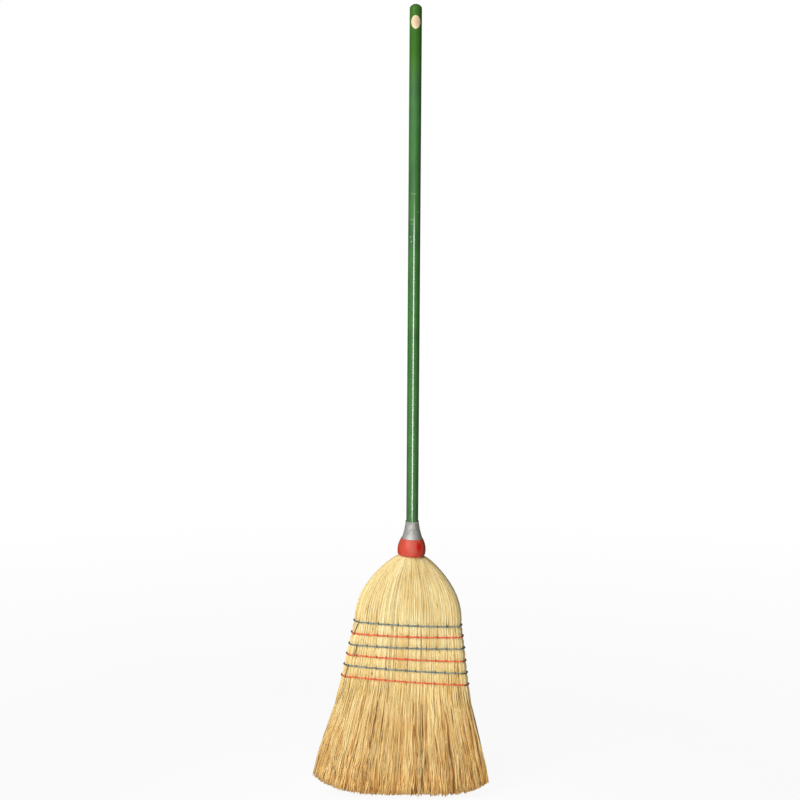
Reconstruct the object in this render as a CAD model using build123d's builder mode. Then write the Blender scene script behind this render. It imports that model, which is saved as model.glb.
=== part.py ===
from build123d import *

import os
from math import acos, asin, atan2, cos, pi, radians, sin, sqrt

# A flat sorghum broom, sewn with six rows of twine. Millimetres, Z up, the sweeping edge on z = 0, X across
# the broom and the front towards -Y. The handle is upright and the head leans a little to its left.

# Handle: a lacquered wooden stick, tapered where the stalks are bound to it
HANDLE_DIAMETER = 22.2
HANDLE_EXPOSED = 947.0
HANDLE_BURIED = 153.0
HANDLE_TIP_DIAMETER = 13.0
HANDLE_TAPER_ABOVE_RIM = 2.0
HANDLE_DOME = 7.0
HANDLE_FIT = 0.3

# Oval paper label on the front of the handle
LABEL_WIDTH = 16.6
LABEL_HEIGHT = 26.0
LABEL_BELOW_TOP = 33.0
LABEL_PAPER = 0.12
LABEL_GLUE = 0.03

# Ferrule: a sheet-metal cone with a short straight band and a rolled rim
FERRULE_RIM_DIAMETER = 24.6
FERRULE_BASE_DIAMETER = 41.8
FERRULE_HEIGHT = 38.0
FERRULE_BAND = 4.0
FERRULE_SHEET = 0.6
FERRULE_BEAD = 0.6
FERRULE_LAP = 5.5
FERRULE_GROOVE_BELOW_RIM = 16.0
FERRULE_GROOVE_WIDTH = 1.4
FERRULE_GROOVE_DEPTH = 0.25

# Collar: a moulded cap round the neck of the head
COLLAR_HEIGHT = 32.5
COLLAR_DIAMETER = 50.2
COLLAR_LOWER_DIAMETER = 48.4
COLLAR_MOUTH_DIAMETER = 39.2
COLLAR_BELLY_ABOVE_EDGE = 13.0
COLLAR_LOWER_BAND = 5.0
COLLAR_WALL = 1.5
COLLAR_TOP_WALL = 1.0
COLLAR_EDGE_RADIUS = 3.4
COLLAR_FIT = 0.7

# Binding wire round the stalks, under the ferrule
WIRE_DIAMETER = 1.6
WIRE_PITCH = 2.4
WIRE_TURNS = 7
WIRE_FIT = 0.3
WIRE_BELOW_STALKS = 7.0
STALKS_BELOW_RIM = 14.0

# Nails through the ferrule and at the ends of the wire
NAIL_DIAMETER = 1.6
NAIL_HEAD_DIAMETER = 4.0
NAIL_HEAD = 0.6
NAIL_BITE = 4.0
NAIL_FIT = 0.1
FERRULE_NAIL_BELOW_RIM = 8.5
FERRULE_NAIL_ANGLES = (60, 120)
WIRE_NAIL_ANGLE = 90

# Head, with heights along its own axis from the sweeping edge
HEAD_HEIGHT = 469.0
HEAD_LEAN = 2.4
NECK_DEPTH = 6.0
NECK_FIT = 0.3
SHOULDER_HEIGHT = 129.0
SHOULDER_SWELL = 0.12
HEAD_WIDTH_FIRST_ROW = 202.0
HEAD_WIDTH_LAST_ROW = 240.0
HEAD_DEPTH_FIRST_ROW = 54.0
HEAD_DEPTH_LAST_ROW = 40.0
END_ROUNDING = 0.65
COVER_NECK = 4.0
COVER_THICKNESS = 7.0
CORE_NECK_WIDTH = 23.0
CORE_WIDTH = 90.0
BUNDLE_GAP = 0.3
FLUTE = 0.6
FLUTES = 28
SHOULDER_STEPS = 7
SIDE_STEPS = 5
CORE_STEPS = 4

# Sewing: rows of twine drawn into the head, each a few degrees off square
ROW_PITCH = 22.0
ROW_SKEWS = (0.0, -0.6, -0.5, 0.7, 1.3, 1.6)
ROW_PINCH = 2.0
TWINE_DIAMETER = 2.4
TWINE_FIT = 0.15
STITCH_PITCH = 18.6
STITCH_DIAMETER = 2.0
SPUR_DIAMETER = 1.8
SPUR_LENGTH = 4.4
SPUR_PROUD = 0.6
SPUR_UP = 0.8
LINK_DIAMETER = 1.6
LINK_ROWS = (0, 2, 4)
LINK_TOP_FROM_EDGE = (9.5, 15.7, 9.0)
LINK_FOOT_FROM_EDGE = (6.4, 15.4, 8.0)

# Loose sorghum below the last row, which bends about a line across the head
FLEX_LIP = 2.6
FLEX_GAP = 0.4
FLEX_BELOW_STITCH = 1.4
FLEX_ROOT_BELOW = 5.0
SWEEP_WIDTH = 333.0
SWEEP_DEPTH = 66.0
SWEEP_BOW = 33.0
SWEEP_BOW_POWER = 3.8
SWEEP_CROWN = 6.0
TRIM_RAGGED = 9.0
TRIM_FLAT = 0.5
STRAND_COLUMNS = 64
STRAND_LEVELS = 6
SIDE_COLUMNS = 18
STRAND_FILL = 0.8
STRAND_ROOT_INSET = 2.6
STRAND_ABOVE_FLEX = 2.0
GOLDEN = 0.6180339887


class Oval:
    """Outline of four tangent arcs: two long faces and two rounded ends."""

    def __init__(self, half_width, half_depth):
        end = END_ROUNDING * half_depth
        self.half_width = half_width
        self.half_depth = half_depth
        self.end_radius = end
        self.end_x = half_width - end
        self.face_radius = (self.end_x**2 + half_depth**2 - end**2) / (2 * (half_depth - end))
        self.centre_y = self.face_radius - half_depth
        self.end_turn = atan2(self.centre_y, self.end_x)
        self.face_length = self.face_radius * (pi / 2 - self.end_turn)
        self.length = self.face_length + end * self.end_turn
        self.face_share = self.face_length / self.length
        self.face_x = self.end_x + end * cos(self.end_turn)

    def point(self, share, out=0.0):
        """Point on the front, from the left end at -1 to the right end at 1, moved outwards."""
        along = abs(share) * self.length
        if along <= self.face_length:
            angle = along / self.face_radius
            x = (self.face_radius + out) * sin(angle)
            y = self.centre_y - (self.face_radius + out) * cos(angle)
        else:
            angle = self.end_turn - (along - self.face_length) / self.end_radius
            x = self.end_x + (self.end_radius + out) * cos(angle)
            y = -(self.end_radius + out) * sin(angle)
        return (x if share >= 0 else -x, y)

    def share_at(self, across):
        """Share of the front, from the middle, where it is this far across."""
        if across <= self.face_x:
            return self.face_radius * asin(across / self.face_radius) / self.length
        angle = acos((across - self.end_x) / self.end_radius)
        return (self.face_length + self.end_radius * (self.end_turn - angle)) / self.length

    def depth_at(self, across):
        """Half depth this far across."""
        if abs(across) <= self.face_x:
            return sqrt(self.face_radius**2 - across**2) - self.centre_y
        return sqrt(self.end_radius**2 - (abs(across) - self.end_x) ** 2)

    def grown(self, out):
        """The outline moved outwards."""
        return Oval(self.half_width + out, self.half_depth + out)


def steps(start, end, count):
    """Evenly spaced values, both ends included."""
    return [start + (end - start) * k / count for k in range(count + 1)]


def mirrored(points):
    """Points of the front carried to the back."""
    return [(x, -y) for x, y in points]


# Where things stand
lean = radians(HEAD_LEAN)
rows = len(ROW_SKEWS)
foot_x = -SWEEP_BOW * sin(lean)
row_heights = [HEAD_HEIGHT - SHOULDER_HEIGHT - ROW_PITCH * i for i in range(rows)]
neck_radius = COLLAR_MOUTH_DIAMETER / 2 - NECK_FIT - FLUTE
neck_top = HEAD_HEIGHT + NECK_DEPTH
collar_top = HEAD_HEIGHT + COLLAR_HEIGHT


def head_point(across, up):
    """A point of the head's middle plane."""
    x = foot_x + across * cos(lean) + up * sin(lean)
    z = -TRIM_FLAT - across * sin(lean) + up * cos(lean)
    return Vector(x, 0, z)


def head_plane(up, skew=0.0):
    """A plane across the head, square to its axis or skewed by some degrees."""
    tilt = lean + radians(skew)
    return Plane(head_point(0, up), x_dir=(cos(tilt), 0, -sin(tilt)), z_dir=(sin(tilt), 0, cos(tilt)))


head_profile = Plane(head_point(0, 0), x_dir=(cos(lean), 0, -sin(lean)), z_dir=(0, -1, 0))
head_axis = Axis(head_point(0, 0), (sin(lean), 0, cos(lean)))

handle_x = head_point(0, collar_top).X
ferrule_base = head_point(0, collar_top).Z - FERRULE_LAP
ferrule_rim = ferrule_base + FERRULE_HEIGHT
handle_top = ferrule_rim + HANDLE_EXPOSED
handle_bottom = ferrule_rim - HANDLE_BURIED
taper_top = ferrule_rim + HANDLE_TAPER_ABOVE_RIM
band_bottom = ferrule_rim - FERRULE_BAND
handle_radius = HANDLE_DIAMETER / 2
handle_profile = Plane((handle_x, 0, 0), x_dir=(1, 0, 0), z_dir=(0, -1, 0))
handle_axis = Axis((handle_x, 0, 0), (0, 0, 1))


def handle_radius_at(z):
    """Radius of the stick's tapered end."""
    share = (z - handle_bottom) / (taper_top - handle_bottom)
    return HANDLE_TIP_DIAMETER / 2 + (HANDLE_DIAMETER - HANDLE_TIP_DIAMETER) / 2 * share


def ferrule_radius_at(z):
    """Outer radius of the ferrule's cone."""
    share = (band_bottom - z) / (band_bottom - ferrule_base)
    return FERRULE_RIM_DIAMETER / 2 + (FERRULE_BASE_DIAMETER - FERRULE_RIM_DIAMETER) / 2 * share


def stalk_radius_at(z):
    """Radius of the bound stalks, which leave room for the wire inside the ferrule."""
    return ferrule_radius_at(z) - FERRULE_SHEET - WIRE_DIAMETER - 2 * WIRE_FIT


def radial_plane(angle, z, reach):
    """A plane that looks out from the handle, this far from its axis."""
    out = (cos(radians(angle)), sin(radians(angle)), 0)
    return Plane((handle_x + reach * out[0], reach * out[1], z), z_dir=out)


stalk_top = ferrule_rim - STALKS_BELOW_RIM
wire_top = stalk_top - WIRE_BELOW_STALKS
wire_bottom = wire_top - WIRE_PITCH * WIRE_TURNS
nail_radius = NAIL_DIAMETER / 2
nail_head_radius = NAIL_HEAD_DIAMETER / 2
ferrule_nail_z = ferrule_rim - FERRULE_NAIL_BELOW_RIM
ferrule_nail_seat = ferrule_radius_at(ferrule_nail_z - nail_head_radius) + NAIL_FIT
wire_nail_clear = WIRE_DIAMETER / 2 + nail_head_radius + WIRE_FIT
wire_nail_heights = (wire_bottom - wire_nail_clear, wire_top + wire_nail_clear)


def wire_nail_seat(z):
    """How far from the handle's axis a wire nail's head sits."""
    return stalk_radius_at(max(z - nail_head_radius, wire_bottom)) + NAIL_FIT


# Shape of the head at each height
def half_width_at(up):
    """Half width of the head: a neck, round shoulders, and a slow flare along the rows."""
    first, last = HEAD_WIDTH_FIRST_ROW / 2, HEAD_WIDTH_LAST_ROW / 2
    if up >= HEAD_HEIGHT:
        return neck_radius
    if up > row_heights[0]:
        share = (HEAD_HEIGHT - up) / SHOULDER_HEIGHT
        return neck_radius + (first - neck_radius) * sqrt(share) * (1 + SHOULDER_SWELL * sin(pi * share))
    return first + (last - first) * (row_heights[0] - up) / (row_heights[0] - row_heights[-1])


def half_depth_at(up):
    """Half depth of the head."""
    first, last = HEAD_DEPTH_FIRST_ROW / 2, HEAD_DEPTH_LAST_ROW / 2
    if up >= HEAD_HEIGHT:
        return neck_radius
    if up > row_heights[0]:
        share = (HEAD_HEIGHT - up) / SHOULDER_HEIGHT
        return neck_radius + (first - neck_radius) * sqrt(share) * (1 + SHOULDER_SWELL * sin(pi * share))
    if up > row_heights[-1]:
        return first + (last - first) * (row_heights[0] - up) / (row_heights[0] - row_heights[-1])
    return last


def head_oval(up):
    """Outline of the head at a height."""
    return Oval(half_width_at(up), half_depth_at(up))


flex_root_radius = HEAD_DEPTH_LAST_ROW / 2 - FLEX_LIP
flex_height = row_heights[-1] - STITCH_DIAMETER / 2 - FLEX_BELOW_STITCH - flex_root_radius - FLEX_GAP
flex_plane = head_plane(flex_height)
flex_axis = Axis(flex_plane.origin, flex_plane.x_dir)

shoulder_heights = [
    HEAD_HEIGHT - SHOULDER_HEIGHT * (k / SHOULDER_STEPS) ** 2 for k in range(SHOULDER_STEPS)
]
# Stations of the head: height, skew, and how far the twine draws the straw in
stations = [(neck_top, 0.0, 0.0)] + [(up, 0.0, 0.0) for up in shoulder_heights]
for i in range(rows):
    stations.append((row_heights[i], ROW_SKEWS[i], ROW_PINCH))
    if i + 1 < rows:
        stations.append((row_heights[i] - ROW_PITCH / 2, (ROW_SKEWS[i] + ROW_SKEWS[i + 1]) / 2, 0.0))
stations.append((flex_height, 0.0, 0.0))


def cover_at(up):
    """Thickness of a cover layer."""
    share = min((HEAD_HEIGHT - up) / SHOULDER_HEIGHT, 1.0)
    return COVER_NECK + (COVER_THICKNESS - COVER_NECK) * max(share, 0.0)


def core_half_at(up):
    """Half width of the inner bundle."""
    share = max((HEAD_HEIGHT - up) / (HEAD_HEIGHT - flex_height), 0.0)
    return (CORE_NECK_WIDTH + (CORE_WIDTH - CORE_NECK_WIDTH) * share) / 2


def filling_oval(up):
    """Outline of what the covers hold between them."""
    return head_oval(up).grown(-ROW_PINCH - cover_at(up))


def cover_outline(up, pinch):
    """Front cover at a station: fluted outside, and inside the line that the bundles follow."""
    outer = head_oval(up)
    seam = 1 - BUNDLE_GAP / 2 / outer.length
    outside = [
        outer.point(share, (FLUTE if k % 2 else -FLUTE) - pinch)
        for k, share in enumerate(steps(-seam, seam, 2 * FLUTES))
    ]
    inner = filling_oval(up).grown(BUNDLE_GAP)
    seam = 1 - BUNDLE_GAP / 2 / inner.length
    core = inner.share_at(core_half_at(up))
    shares = steps(seam, core, SIDE_STEPS) + steps(core, -core, CORE_STEPS)[1:]
    shares += steps(-core, -seam, SIDE_STEPS)[1:]
    return outside + [inner.point(share) for share in shares]


def core_outline(up):
    """Inner bundle at a station."""
    oval = filling_oval(up)
    share = oval.share_at(core_half_at(up) - BUNDLE_GAP / 2)
    front = [oval.point(s) for s in steps(-share, share, CORE_STEPS)]
    return front + mirrored(reversed(front))


def shoulder_outline(up, side):
    """Left (-1) or right (1) shoulder bundle at a station."""
    oval = filling_oval(up)
    share = oval.share_at(core_half_at(up) + BUNDLE_GAP / 2)
    front = [oval.point(side * s) for s in steps(share, 1, SIDE_STEPS)]
    return front + mirrored(reversed(front[:-1]))


# Sewing places
def stitch_places(row):
    """How far across the head the stitches of a row go through it."""
    oval = head_oval(row_heights[row])
    count = int(oval.end_x / STITCH_PITCH)
    return [STITCH_PITCH * k for k in range(-count, count + 1)]


def row_plane(row):
    """The plane of a row of twine."""
    return head_plane(row_heights[row], ROW_SKEWS[row])


twine_out = FLUTE - ROW_PINCH + TWINE_FIT + TWINE_DIAMETER / 2

with BuildPart() as stitch_bores:
    for row in range(rows):
        with Locations(row_plane(row)):
            with Locations([(across, 0, 0) for across in stitch_places(row)]):
                Cylinder(STITCH_DIAMETER / 2 + TWINE_FIT, HEAD_DEPTH_FIRST_ROW * 2, rotation=(90, 0, 0))


def flex_form(clearance):
    """Round root about which the loose sorghum bends: the head's oval turned about its long axis."""
    oval = head_oval(flex_height).grown(clearance - FLEX_LIP)
    share = oval.face_share
    with BuildPart() as form:
        with BuildSketch(flex_plane):
            with BuildLine():
                ends = [(-oval.half_width, 0), (oval.half_width, 0)]
                middle = (1 + share) / 2
                ThreePointArc(ends[0], oval.point(-middle), oval.point(-share))
                ThreePointArc(oval.point(-share), oval.point(0), oval.point(share))
                ThreePointArc(oval.point(share), oval.point(middle), ends[1])
                Line(ends[1], ends[0])
            make_face()
        revolve(axis=flex_axis)
    return form.part


flex_socket = flex_form(FLEX_GAP)
flex_root = flex_form(0.0)

# Handle
with BuildPart() as handle:
    with BuildSketch(handle_profile):
        with BuildLine():
            shoulder = handle_top - HANDLE_DOME
            dome = (handle_radius**2 + HANDLE_DOME**2) / (2 * HANDLE_DOME)
            Polyline(
                (0, handle_top),
                (0, handle_bottom),
                (HANDLE_TIP_DIAMETER / 2, handle_bottom),
                (handle_radius, taper_top),
                (handle_radius, shoulder),
            )
            RadiusArc((handle_radius, shoulder), (0, handle_top), -dome)
        make_face()
    revolve(axis=handle_axis)
    for angle in FERRULE_NAIL_ANGLES:
        with BuildSketch(radial_plane(angle, ferrule_nail_z, ferrule_nail_seat)):
            Circle(nail_radius + NAIL_FIT)
        extrude(
            amount=handle_radius_at(ferrule_nail_z) - NAIL_BITE - NAIL_FIT - ferrule_nail_seat,
            mode=Mode.SUBTRACT,
        )
    for z in wire_nail_heights:
        with BuildSketch(radial_plane(WIRE_NAIL_ANGLE, z, wire_nail_seat(z))):
            Circle(nail_radius + NAIL_FIT)
        extrude(amount=handle_radius_at(z) - NAIL_BITE - NAIL_FIT - wire_nail_seat(z), mode=Mode.SUBTRACT)

# Label
with BuildPart() as handle_label:
    label_z = handle_top - LABEL_BELOW_TOP
    with BuildSketch(Plane((handle_x, 0, label_z), x_dir=(1, 0, 0), z_dir=(0, -1, 0))):
        Ellipse(LABEL_WIDTH / 2, LABEL_HEIGHT / 2)
    extrude(amount=HANDLE_DIAMETER)
    with BuildSketch(Plane((handle_x, 0, label_z - LABEL_HEIGHT / 2))):
        Circle(handle_radius + LABEL_GLUE + LABEL_PAPER)
        Circle(handle_radius + LABEL_GLUE, mode=Mode.SUBTRACT)
    extrude(amount=LABEL_HEIGHT, mode=Mode.INTERSECT)

# Ferrule
with BuildPart() as ferrule:
    rim_radius = FERRULE_RIM_DIAMETER / 2
    base_radius = FERRULE_BASE_DIAMETER / 2
    groove_z = ferrule_rim - FERRULE_GROOVE_BELOW_RIM
    with BuildSketch(handle_profile):
        with BuildLine():
            Polyline(
                (rim_radius, ferrule_rim),
                (rim_radius, band_bottom),
                (base_radius, ferrule_base),
                (base_radius - FERRULE_SHEET, ferrule_base),
                (rim_radius - FERRULE_SHEET, band_bottom),
                (rim_radius - FERRULE_SHEET, ferrule_rim),
                close=True,
            )
        make_face()
        with Locations((rim_radius, ferrule_rim - FERRULE_BEAD)):
            Circle(FERRULE_BEAD)
        with BuildLine():
            Polyline(
                (ferrule_radius_at(groove_z + FERRULE_GROOVE_WIDTH / 2), groove_z + FERRULE_GROOVE_WIDTH / 2),
                (ferrule_radius_at(groove_z) - FERRULE_GROOVE_DEPTH, groove_z),
                (ferrule_radius_at(groove_z - FERRULE_GROOVE_WIDTH / 2), groove_z - FERRULE_GROOVE_WIDTH / 2),
                close=True,
            )
        make_face(mode=Mode.SUBTRACT)
    revolve(axis=handle_axis)
    for angle in FERRULE_NAIL_ANGLES:
        with BuildSketch(radial_plane(angle, ferrule_nail_z, ferrule_nail_seat)):
            Circle(nail_radius + NAIL_FIT)
        extrude(amount=handle_radius - ferrule_nail_seat, mode=Mode.SUBTRACT)

with BuildPart() as ferrule_nails:
    for angle in FERRULE_NAIL_ANGLES:
        seat = radial_plane(angle, ferrule_nail_z, ferrule_nail_seat)
        with BuildSketch(seat):
            Circle(nail_head_radius)
        extrude(amount=NAIL_HEAD)
        with BuildSketch(seat):
            Circle(nail_radius)
        extrude(amount=handle_radius_at(ferrule_nail_z) - NAIL_BITE - ferrule_nail_seat)

# Collar
with BuildPart() as collar:
    top_radius = ferrule_radius_at(ferrule_base + FERRULE_LAP) + COLLAR_FIT
    belly = HEAD_HEIGHT + COLLAR_BELLY_ABOVE_EDGE
    lower = HEAD_HEIGHT + COLLAR_LOWER_BAND
    mouth_radius = COLLAR_MOUTH_DIAMETER / 2
    lap = collar_top - FERRULE_LAP - COLLAR_FIT
    lap_radius = FERRULE_BASE_DIAMETER / 2 + COLLAR_FIT
    with BuildSketch(head_profile) as collar_section:
        with BuildLine():
            ThreePointArc(
                (top_radius + COLLAR_TOP_WALL, collar_top),
                (COLLAR_DIAMETER / 2, belly),
                (COLLAR_LOWER_DIAMETER / 2, lower),
            )
            Polyline(
                (COLLAR_LOWER_DIAMETER / 2, lower),
                (COLLAR_LOWER_DIAMETER / 2, HEAD_HEIGHT),
                (mouth_radius, HEAD_HEIGHT),
                (mouth_radius, HEAD_HEIGHT + COLLAR_WALL),
                (COLLAR_LOWER_DIAMETER / 2 - COLLAR_WALL, lower),
                (COLLAR_DIAMETER / 2 - COLLAR_WALL, belly),
                (lap_radius, lap),
                (top_radius, collar_top),
                (top_radius + COLLAR_TOP_WALL, collar_top),
            )
        make_face()
        lower_corner = collar_section.vertices().sort_by_distance((COLLAR_LOWER_DIAMETER / 2, HEAD_HEIGHT))[0]
        fillet(lower_corner, COLLAR_EDGE_RADIUS)
    revolve(axis=head_axis)

# Wire winding
def wire_point(turn):
    """A point on the wire's middle line, after some turns."""
    z = wire_bottom + WIRE_PITCH * turn
    reach = stalk_radius_at(z) + WIRE_FIT + WIRE_DIAMETER / 2
    angle = radians(WIRE_NAIL_ANGLE) + 2 * pi * turn
    return Vector(handle_x + reach * cos(angle), reach * sin(angle), z)


def wire_heading(turn):
    """Direction of the wire after some turns."""
    small = 1e-4
    return (wire_point(turn + small) - wire_point(turn - small)).normalized()


with BuildPart() as binding_wire:
    with BuildLine() as wire_line:
        quarters = 4 * WIRE_TURNS
        for k in range(quarters):
            start, end = wire_point(k / 4), wire_point((k + 1) / 4)
            out, home = wire_heading(k / 4), wire_heading((k + 1) / 4)
            chord = end - start
            bend = 2 * (1 - out.dot(home))
            pull = chord.dot(out + home)
            reach = (sqrt(pull**2 + bend * chord.dot(chord)) - pull) / bend
            corner, corner_home = start + out * reach, end - home * reach
            TangentArc(start, (corner + corner_home) / 2, tangent=out)
            TangentArc((corner + corner_home) / 2, end, tangent=corner_home - corner)
    with BuildSketch(Plane(wire_line.line @ 0, z_dir=wire_line.line % 0)):
        Circle(WIRE_DIAMETER / 2)
    sweep(path=wire_line.line)

samples = [wire_point(k / 48) for k in range(48 * WIRE_TURNS + 1)]
near = min(
    (a - b).length for i, a in enumerate(samples) for b in samples[i + 24 :]
)
print(f"binding wire: least gap to itself {near - WIRE_DIAMETER:.2f} mm")

with BuildPart() as wire_nails:
    for z in wire_nail_heights:
        seat = radial_plane(WIRE_NAIL_ANGLE, z, wire_nail_seat(z))
        with BuildSketch(seat):
            Circle(nail_head_radius)
        extrude(amount=NAIL_HEAD)
        with BuildSketch(seat):
            Circle(nail_radius)
        extrude(amount=handle_radius_at(z) - NAIL_BITE - wire_nail_seat(z))

# Bundles of the head
with BuildPart() as core_bundle:
    stalk_bottom = neck_top + BUNDLE_GAP
    with BuildSketch(handle_profile):
        with BuildLine():
            Polyline(
                (0, ferrule_base - COLLAR_HEIGHT),
                (stalk_radius_at(wire_bottom), ferrule_base - COLLAR_HEIGHT),
                (stalk_radius_at(wire_bottom), wire_bottom),
                (stalk_radius_at(stalk_top), stalk_top),
                (0, stalk_top),
                close=True,
            )
        make_face()
    revolve(axis=handle_axis)
    split(bisect_by=head_plane(stalk_bottom), keep=Keep.TOP)
    core_stations = [(stalk_bottom + NECK_DEPTH, 0.0)] + [(up, skew) for up, skew, pinch in stations]
    for up, skew in core_stations:
        with BuildSketch(head_plane(up, skew)):
            with BuildLine():
                Polyline(core_outline(up), close=True)
            make_face()
    loft(ruled=True)
    with Locations((handle_x, 0, handle_bottom - HANDLE_FIT)):
        Cone(
            HANDLE_TIP_DIAMETER / 2 + HANDLE_FIT,
            handle_radius + HANDLE_FIT,
            taper_top - handle_bottom,
            align=(Align.CENTER, Align.CENTER, Align.MIN),
            mode=Mode.SUBTRACT,
        )
    for z in wire_nail_heights:
        with BuildSketch(radial_plane(WIRE_NAIL_ANGLE, z, wire_nail_seat(z))):
            Circle(nail_radius + NAIL_FIT)
        extrude(amount=handle_radius_at(z) - wire_nail_seat(z), mode=Mode.SUBTRACT)
    add(stitch_bores.part, mode=Mode.SUBTRACT)
    add(flex_socket, mode=Mode.SUBTRACT)


def shoulder_bundle(side):
    """A shoulder bundle, from the collar down to the flex line."""
    with BuildPart() as bundle:
        for up, skew, pinch in stations:
            with BuildSketch(head_plane(up, skew)):
                with BuildLine():
                    Polyline(shoulder_outline(up, side), close=True)
                make_face()
        loft(ruled=True)
        add(stitch_bores.part, mode=Mode.SUBTRACT)
        add(flex_socket, mode=Mode.SUBTRACT)
    return bundle


def cover_layer(back):
    """A cover layer of fluted straw, drawn in along each row of twine."""
    with BuildPart() as layer:
        for up, skew, pinch in stations:
            outline = cover_outline(up, pinch)
            with BuildSketch(head_plane(up, skew)):
                with BuildLine():
                    Polyline(mirrored(outline) if back else outline, close=True)
                make_face()
        loft(ruled=True)
        add(stitch_bores.part, mode=Mode.SUBTRACT)
        add(flex_socket, mode=Mode.SUBTRACT)
    return layer


left_shoulder = shoulder_bundle(-1)
right_shoulder = shoulder_bundle(1)
front_cover = cover_layer(back=False)
back_cover = cover_layer(back=True)


# Rows of twine
def stitch_row(row):
    """A loop of twine round the head, with its stitches through it and a spur over the loop at each."""
    oval = head_oval(row_heights[row]).grown(twine_out)
    share = oval.face_share
    with BuildPart() as thread:
        with BuildLine(row_plane(row)) as loop:
            left, right = oval.point(-share), oval.point(share)
            back_left, back_right = mirrored([left, right])
            ThreePointArc(left, oval.point(0), right)
            ThreePointArc(right, (oval.half_width, 0), back_right)
            ThreePointArc(back_right, (0, oval.half_depth), back_left)
            ThreePointArc(back_left, (-oval.half_width, 0), left)
        with BuildSketch(Plane(loop.line @ 0, z_dir=loop.line % 0)):
            Circle(TWINE_DIAMETER / 2)
        sweep(path=loop.line)
        stitches = []
        with Locations(row_plane(row)):
            for across in stitch_places(row):
                deep = oval.depth_at(across)
                with Locations((across, 0, 0)):
                    stitches.append(
                        Cylinder(STITCH_DIAMETER / 2, 2 * deep, rotation=(90, 0, 0), mode=Mode.PRIVATE)
                    )
                for out in (-deep - SPUR_PROUD, deep + SPUR_PROUD):
                    with Locations((across, out, SPUR_UP)):
                        stitches.append(Cylinder(SPUR_DIAMETER / 2, SPUR_LENGTH, mode=Mode.PRIVATE))
        add(stitches)
    return thread


stitch_rows = [stitch_row(row) for row in range(rows)]

# Short threads at the left that carry the twine from one row to the next
with BuildPart() as twine_links:
    link_out = twine_out + TWINE_DIAMETER / 2 + TWINE_FIT + LINK_DIAMETER / 2
    for row, top_edge, foot_edge in zip(LINK_ROWS, LINK_TOP_FROM_EDGE, LINK_FOOT_FROM_EDGE):
        ends = []
        for k, edge in ((row, top_edge), (row + 1, foot_edge)):
            oval = head_oval(row_heights[k])
            share = oval.share_at(oval.half_width - edge)
            ends.append(row_plane(k).from_local_coords(Vector(*oval.point(-share, link_out))))
        way = ends[1] - ends[0]
        with BuildSketch(Plane(ends[0], z_dir=way)):
            Circle(LINK_DIAMETER / 2)
        extrude(amount=way.length)


# Loose sorghum
def strand_spread(column, level, down):
    """Middle of a strand at a depth below the flex line, with half its share of room each way."""
    column_share = (2 * column + 1) / STRAND_COLUMNS - 1
    level_share = (2 * level + 1) / STRAND_LEVELS - 1
    root = head_oval(flex_height).grown(-FLEX_LIP)
    root_across = root.half_width - root.end_radius / 2
    root_deep = flex_root_radius - STRAND_ROOT_INSET
    share = (down + STRAND_ABOVE_FLEX) / (flex_height + STRAND_ABOVE_FLEX - SWEEP_BOW)
    across = root_across + (SWEEP_WIDTH / 2 - root_across) * share
    deep = root_deep + (SWEEP_DEPTH / 2 - root_deep) * share
    outer_share = abs(column_share) + 1 / STRAND_COLUMNS
    deep *= root.depth_at(outer_share * root_across) / root.half_depth
    return (column_share * across, level_share * deep, across / STRAND_COLUMNS, deep / STRAND_LEVELS)


def strand(column, level):
    """A straight strand of four sides, from inside the round root to its ragged tip."""
    column_share = (2 * column + 1) / STRAND_COLUMNS - 1
    level_share = (2 * level + 1) / STRAND_LEVELS - 1
    chance = (GOLDEN * (column * STRAND_LEVELS + 5 * level)) % 1
    sway = (GOLDEN * (3 * column + level * STRAND_COLUMNS)) % 1 - 0.5
    tip = SWEEP_BOW * abs(column_share) ** SWEEP_BOW_POWER + SWEEP_CROWN * level_share**2
    tip += TRIM_RAGGED * chance
    x, y, room_x, room_y = strand_spread(column, level, -STRAND_ABOVE_FLEX)
    width, depth = STRAND_FILL * room_x, STRAND_FILL * room_y
    end_x, end_y, end_room_x, end_room_y = strand_spread(column, level, flex_height - tip)
    end_x += sway * (end_room_x - width)
    end_y += sway * (end_room_y - depth)
    root_plane = head_plane(flex_height + STRAND_ABOVE_FLEX)
    fall = root_plane.from_local_coords(Vector(end_x, end_y, tip - flex_height - STRAND_ABOVE_FLEX))
    fall -= root_plane.from_local_coords(Vector(x, y, 0))
    with BuildSketch(root_plane) as section:
        with Locations((x, y)):
            Rectangle(2 * width, 2 * depth)
    return extrude(section.sketch, amount=fall.length, dir=fall, mode=Mode.PRIVATE)


def root_corners(columns, levels, down):
    """Corners, at a depth below the flex line, of the room that some columns and levels share."""
    middle = strand_spread(STRAND_COLUMNS // 2, 0, down)
    edge = strand_spread(SIDE_COLUMNS, 0, down)
    room_x, room_y = middle[2], (middle[3] + edge[3]) / 2
    low_x = (2 * columns.start - STRAND_COLUMNS) * room_x + BUNDLE_GAP / 2
    high_x = (2 * columns.stop - STRAND_COLUMNS) * room_x - BUNDLE_GAP / 2
    low_y = (2 * levels.start - STRAND_LEVELS) * room_y + BUNDLE_GAP / 2
    high_y = (2 * levels.stop - STRAND_LEVELS) * room_y - BUNDLE_GAP / 2
    if columns.start == 0:
        low_x -= HEAD_DEPTH_LAST_ROW
    if columns.stop == STRAND_COLUMNS:
        high_x += HEAD_DEPTH_LAST_ROW
    if levels.start == 0:
        low_y -= HEAD_DEPTH_LAST_ROW
    if levels.stop == STRAND_LEVELS:
        high_y += HEAD_DEPTH_LAST_ROW
    return [(low_x, low_y), (high_x, low_y), (high_x, high_y), (low_x, high_y)]


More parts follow.
